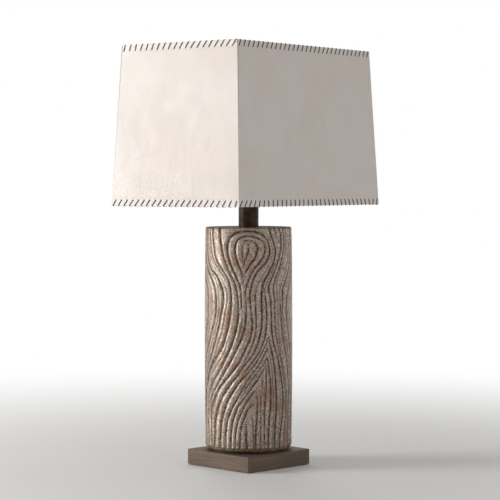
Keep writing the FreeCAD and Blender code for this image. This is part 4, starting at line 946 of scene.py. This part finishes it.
def threaded_cap():
    """The bulb's cap as a thin tube with a rolled thread that fades at both ends."""
    low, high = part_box("bulb_cap")
    bottom = low.z / MM
    top = high.z / MM
    outer = high.x / MM
    pitch = 3.6
    thread_deep = 0.75
    wall = 1.6
    rows = 44
    heights = [bottom + (top - bottom) * row / rows for row in range(rows + 1)]
    bm = tube_skin(72, heights)
    for vert in bm.verts:
        turn = math.atan2(vert.co.y, vert.co.x) / (2 * math.pi)
        climb = vert.co.z - bottom
        fade = max(min((climb - 1.0) / 2.0, (top - 3.0 - vert.co.z) / 2.0, 1.0), 0.0)
        crest = 0.5 + 0.5 * math.cos(2 * math.pi * (climb / pitch - turn))
        radius = outer - thread_deep * (1 - crest) * fade - 0.35 * (1 - fade)
        vert.co = (vert.co.x * radius, vert.co.y * radius, vert.co.z)
    close_tube(bm, bottom, top, outer - wall)
    bmesh.ops.scale(bm, vec=(MM, MM, MM), verts=bm.verts[:])
    finished_piece("bulb_screw_cap", bm, ["bulb_cap"], "bulb")


threaded_cap()


# Room, lamps and camera

def area_lamp(name, place, target, size, power, colour):
    """A soft rectangular lamp that looks at a target."""
    lamp = bpy.data.lights.new(name, "AREA")
    lamp.shape = "RECTANGLE"
    lamp.size, lamp.size_y = size
    lamp.energy = power
    lamp.color = colour
    holder = bpy.data.objects.new(name, lamp)
    holder.location = place
    holder.rotation_euler = (Vector(target) - Vector(place)).to_track_quat("-Z", "Y").to_euler()
    bpy.context.scene.collection.objects.link(holder)


def white_background():
    """White where the camera, a reflection or a clear piece sees it, and a plain soft light."""
    world = bpy.data.worlds.new("studio")
    world.use_nodes = True
    tree = world.node_tree
    back = tree.nodes["Background"]
    path = tree.nodes.new("ShaderNodeLightPath")
    seen = tree.nodes.new("ShaderNodeMath")
    seen.operation = "MAXIMUM"
    tree.links.new(path.outputs["Is Camera Ray"], seen.inputs[0])
    tree.links.new(path.outputs["Is Transmission Ray"], seen.inputs[1])
    both = tree.nodes.new("ShaderNodeMath")
    both.operation = "MAXIMUM"
    tree.links.new(seen.outputs[0], both.inputs[0])
    tree.links.new(path.outputs["Is Glossy Ray"], both.inputs[1])
    level = tree.nodes.new("ShaderNodeMapRange")
    level.inputs["To Min"].default_value = ROOM_LIGHT
    level.inputs["To Max"].default_value = 1.0
    tree.links.new(both.outputs[0], level.inputs["Value"])
    back.inputs["Color"].default_value = (1, 1, 1, 1)
    tree.links.new(level.outputs[0], back.inputs["Strength"])
    bpy.context.scene.world = world


def studio_floor():
    """A pale floor that keeps the shadow near the lamp and fades to white further off."""
    bm = bmesh.new()
    bmesh.ops.create_grid(bm, x_segments=1, y_segments=1, size=6.0)
    mesh = bpy.data.meshes.new("studio_floor")
    bm.to_mesh(mesh)
    bm.free()
    floor = bpy.data.objects.new("studio_floor", mesh)
    bpy.context.scene.collection.objects.link(floor)
    paint = Finish("floor_paint")
    place = paint.place()
    tone = paint.cloud(place, 2.0, 2.0)
    colour = paint.blend(tone, srgb(238, 237, 235), srgb(232, 231, 229))
    reach = paint.node("VectorMath", {0: place}, operation="LENGTH").outputs["Value"]
    path = paint.node("LightPath", {}).outputs
    direct = paint.calc("MAXIMUM", path["Is Camera Ray"], path["Is Glossy Ray"])
    seen = paint.calc("MAXIMUM", direct, path["Is Transmission Ray"])
    fade = paint.calc("MULTIPLY", seen, paint.spread(reach, 0.3, 1.9))
    matt = paint.surface(Base_Color=colour, Roughness=0.85)
    white = paint.node("Emission", {"Color": (1, 1, 1, 1), "Strength": 1.0}).outputs[0]
    both = paint.node("MixShader", {0: fade, 1: paint.shader.outputs[0], 2: white}).outputs[0]
    paint.feed(paint.tree.nodes["Material Output"].inputs["Surface"], both)
    mesh.materials.append(matt)


white_background()
studio_floor()
area_lamp("key", (-2.62, 2.05, 1.0), (0, 0, 0.45), (1.2, 1.4), 82.0, (1.0, 0.985, 0.97))
area_lamp("fill", (0.6, -2.8, 1.3), (0, 0, 0.4), (1.6, 1.6), 5.0, (0.97, 0.98, 1.0))
area_lamp("back", (1.6, 2.2, 2.2), (0, 0, 0.5), (1.2, 1.2), 14.0, (1.0, 1.0, 1.0))

lens = bpy.data.cameras.new("photograph_view")
lens.lens = CAMERA_LENS
lens.clip_end = 50.0
camera = bpy.data.objects.new("photograph_view", lens)
camera.location = CAMERA_PLACE
camera.rotation_euler = (math.pi / 2 - CAMERA_DIP, 0.0, CAMERA_TURN)
bpy.context.scene.collection.objects.link(camera)
bpy.context.scene.camera = camera
bpy.context.scene.view_settings.view_transform = "Standard"

bpy.context.view_layer.update()
